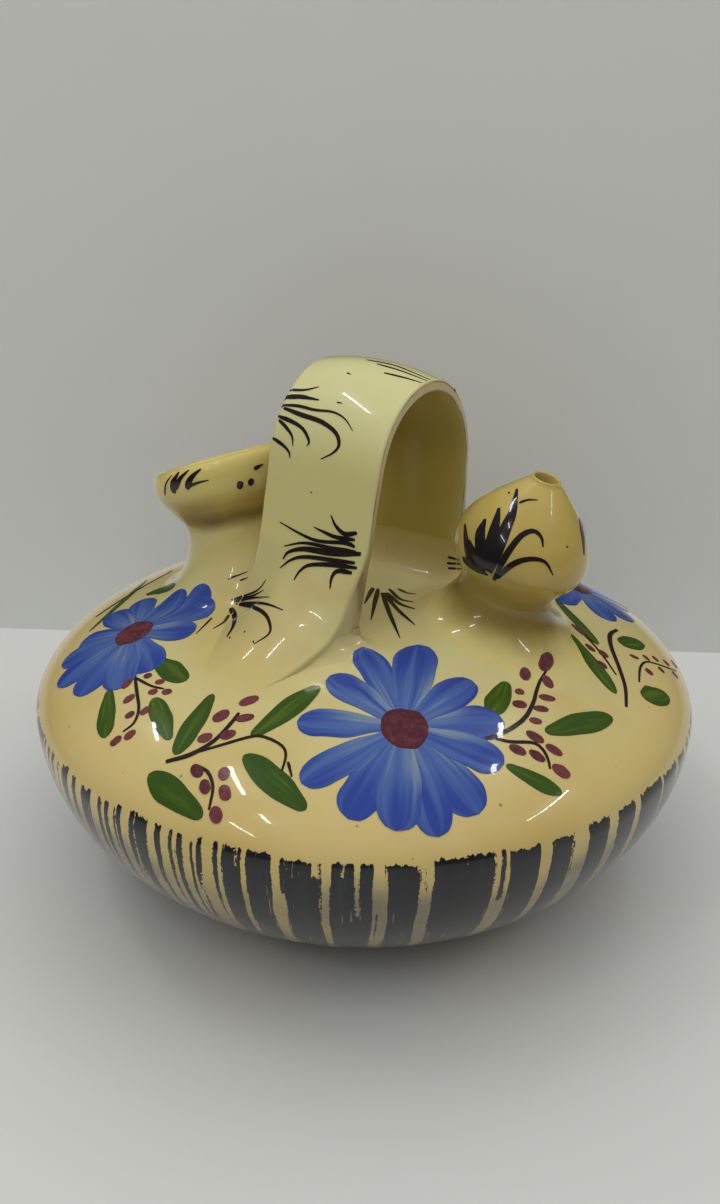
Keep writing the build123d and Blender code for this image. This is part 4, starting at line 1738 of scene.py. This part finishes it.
class JUG_OT_grass(Operator):
    """Paint the tufts of grass on the strap, the dome, the spout and the lip"""

    bl_idname = "jug.grass"
    bl_label = "Grass tufts"

    def execute(self, context):
        scene = context.scene
        colours = scene.jug_colours
        outline = Outline(scene)
        self.ink = dab_material("grass_ink", colours.ink, colours.stem)
        copies = (half_turn(1.0, 1.0),)
        tufts = DOME_TUFTS + SPOUT_FOOT_TUFTS
        self.paint(scene, "dome_grass", "dome_glaze", DOME_CARRIERS, copies, tufts, 20, 4)
        copies = (half_turn(1.0, 1.2),)
        self.paint(scene, "strap_grass", "handle_glaze", ("strap_band",), copies, STRAP_TUFTS, 28, 4)
        copies = round_copies(outline.spout_place(scene), (118, 236))
        self.paint(scene, "spout_grass", "spout_glaze", ("spout_fig",), copies, SPOUT_TUFTS, 20, 6)
        copies = round_copies(outline.mouth_place(scene), (130,))
        self.paint(scene, "lip_grass", "mouth_glaze", ("mouth_neck",), copies, LIP_TUFTS, 14, 4, LIP_DOTS)
        return {"FINISHED"}

    def paint(self, scene, name, slot, carriers, copies, tufts, rows, columns, dots=()):
        """Paints the tufts and dots on some pieces, as one piece of its own."""
        brush = Brush(scene, carriers)
        brush.copies = copies
        for width, *pixels in tufts:
            brush.line(width, pixels, GRASS_SHAPE, GRASS_LIFT, rows, columns)
        for dot in dots:
            brush.dab(*dot, GRASS_LIFT)
        brush.finish(name, self.ink, slot)


# Stage

# Thin tube lamps overhead: how far each hangs to the right of the camera's view, and its near and far ends
# along the view, in metres
TUBES = (
    (-0.40, -0.48, -0.33), (-0.40, -0.10, 0.15), (-0.67, -0.91, -0.55), (-0.70, 0.39, 0.55),
    (0.39, 0.12, 0.20), (0.39, 0.40, 0.50), (0.91, -0.53, -0.05),
)
TUBE_WIDTH = 0.018
TUBE_HEIGHT = 0.95
TUBE_RISE = 0.87
TUBE_POWER = 1.7
LAMP_TINT = (1.0, 0.985, 0.955)
LAMP_AIM = Vector((0, 0, 60 * MM))
WALL_DISTANCE = 121 * MM
WALL_HALF_HEIGHT = 0.6
WALL_SKEW = -2.8
STAGE_HALF_WIDTH = 3
FILM_HEIGHT = 36


class JUG_OT_stage(Operator):
    """Lay the table, stand the wall behind it, and set the lamps and the camera"""

    bl_idname = "jug.stage"
    bl_label = "Stage"

    def execute(self, context):
        scene = context.scene
        colours = scene.jug_stage
        turn = Matrix.Rotation(math.radians(CAMERA_TURN), 4, "Z")
        table_size = Matrix.Diagonal((STAGE_HALF_WIDTH, STAGE_HALF_WIDTH, 1, 1))
        self.sheet("table_top", stage_material("table_white", colours.table), table_size)
        behind = Matrix.Translation((0, WALL_DISTANCE, WALL_HALF_HEIGHT))
        skew = Matrix.Rotation(math.radians(WALL_SKEW), 4, "Z")
        upright = Matrix.Rotation(math.pi / 2, 4, "X")
        wall_size = Matrix.Diagonal((STAGE_HALF_WIDTH, WALL_HALF_HEIGHT, 1, 1))
        recipe = stage_material("wall_grey", colours.wall)
        wall = self.sheet("wall", recipe, turn @ behind @ skew @ upright @ wall_size, one_sided=True)
        wall.visible_shadow = False
        wall.visible_glossy = False
        wall.visible_diffuse = False
        self.soft_lamp("softbox", 2.2, 15.0, Vector((0, 0, 1.0)))
        self.soft_lamp("fill", 1.4, 2.4, turn @ Vector((-0.35, -1.1, 0.6)))
        for number, tube in enumerate(TUBES):
            self.tube(f"tube_{number}", *tube)
        self.sky(scene)
        camera = bpy.data.cameras.new("camera")
        camera.sensor_fit = "VERTICAL"
        camera.sensor_height = FILM_HEIGHT
        camera.lens = PHOTO_FOCAL / PHOTO_HEIGHT * FILM_HEIGHT
        camera.clip_start = 0.01
        eye = bpy.data.objects.new("camera", camera)
        eye.matrix_world = camera_matrix()
        scene.collection.objects.link(eye)
        scene.camera = eye
        scene.view_settings.view_transform = "Standard"
        return {"FINISHED"}

    def sky(self, scene):
        """A soft light from above that fades towards the horizon."""
        world = bpy.data.worlds.new("room")
        scene.world = world
        world.use_nodes = True
        recipe = Recipe.over(world.node_tree)
        way = recipe.add("ShaderNodeTexCoord", output="Generated")
        height = recipe.add("ShaderNodeSeparateXYZ", inputs={0: way}, output="Z")
        light = 0.04 + recipe.step(height, 0.15, 0.95) * 0.12
        shown = recipe.add("ShaderNodeLightPath", output="Is Camera Ray")
        strength = light * (1 - shown) + shown * 0.36
        background = world.node_tree.nodes["Background"]
        background.inputs["Color"].default_value = full(LAMP_TINT)
        recipe.feed(background.inputs["Strength"], strength)

    def sheet(self, name, recipe, place, one_sided=False):
        bm = bmesh.new()
        bmesh.ops.create_grid(bm, x_segments=1, y_segments=1, size=1, matrix=place)
        mesh = bpy.data.meshes.new(name)
        bm.to_mesh(mesh)
        bm.free()
        mesh.materials.append(recipe.material)
        if one_sided:
            back = recipe.add("ShaderNodeNewGeometry", output="Backfacing")
            clear = recipe.add("ShaderNodeBsdfTransparent")
            shown = Field(recipe, recipe.shader.outputs[0])
            both = recipe.add("ShaderNodeMixShader", inputs={0: back, 1: shown, 2: clear})
            recipe.tree.links.new(both.socket, recipe.tree.nodes["Material Output"].inputs["Surface"])
        piece = bpy.data.objects.new(name, mesh)
        bpy.context.scene.collection.objects.link(piece)
        return piece

    def soft_lamp(self, name, size, energy, place):
        """A wide soft lamp that faces the jug, and that the glaze doesn't mirror."""
        light = bpy.data.lights.new(name, "AREA")
        light.shape = "SQUARE"
        light.size = size
        light.energy = energy
        light.color = LAMP_TINT
        holder = bpy.data.objects.new(name, light)
        facing = (LAMP_AIM - place).to_track_quat("-Z", "Y")
        holder.matrix_world = Matrix.LocRotScale(place, facing, None)
        holder.visible_glossy = False
        holder.visible_camera = False
        bpy.context.scene.collection.objects.link(holder)

    def tube(self, name, aside, near, far):
        """A thin tube lamp that hangs along the camera's view, turned to face the jug."""
        light = bpy.data.lights.new(name, "AREA")
        light.shape = "RECTANGLE"
        light.size = TUBE_WIDTH
        light.size_y = far - near
        light.energy = TUBE_POWER * (far - near)
        run = Vector((0, 1, 0))
        out = Vector((aside, 0, TUBE_RISE)).normalized()
        faces = Matrix((run.cross(out), run, out)).transposed().to_4x4()
        place = Matrix.Translation((aside, (near + far) / 2, TUBE_HEIGHT))
        holder = bpy.data.objects.new(name, light)
        holder.matrix_world = Matrix.Rotation(math.radians(CAMERA_TURN), 4, "Z") @ place @ faces
        bpy.context.scene.collection.objects.link(holder)


class JUG_PT_panel(Panel):
    """Lists the jug's pieces in the sidebar"""

    bl_idname = "JUG_PT_panel"
    bl_label = "Painted water jug"
    bl_space_type = "VIEW_3D"
    bl_region_type = "UI"
    bl_category = "Jug"

    def draw(self, context):
        for operator in OPERATORS:
            self.layout.operator(operator.bl_idname)


GROUPS = {
    "jug_body": BodySizes,
    "jug_mouth": MouthSizes,
    "jug_spout": SpoutSizes,
    "jug_strap": StrapSizes,
    "jug_paint": PaintSizes,
    "jug_colours": GlazeColours,
    "jug_stage": StageColours,
}
OPERATORS = (
    JUG_OT_bowl, JUG_OT_dome, JUG_OT_mouth, JUG_OT_spout, JUG_OT_strap, JUG_OT_flowers, JUG_OT_garlands,
    JUG_OT_grass, JUG_OT_stage,
)


def register():
    for name, group in GROUPS.items():
        bpy.utils.register_class(group)
        setattr(bpy.types.Scene, name, PointerProperty(type=group))
    for operator in OPERATORS:
        bpy.utils.register_class(operator)
    bpy.utils.register_class(JUG_PT_panel)


def unregister():
    bpy.utils.unregister_class(JUG_PT_panel)
    for operator in reversed(OPERATORS):
        bpy.utils.unregister_class(operator)
    for name, group in GROUPS.items():
        delattr(bpy.types.Scene, name)
        bpy.utils.unregister_class(group)


def main():
    register()
    for operator in OPERATORS:
        group, name = operator.bl_idname.split(".")
        getattr(getattr(bpy.ops, group), name)()
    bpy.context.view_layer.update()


if __name__ == "__main__":
    main()
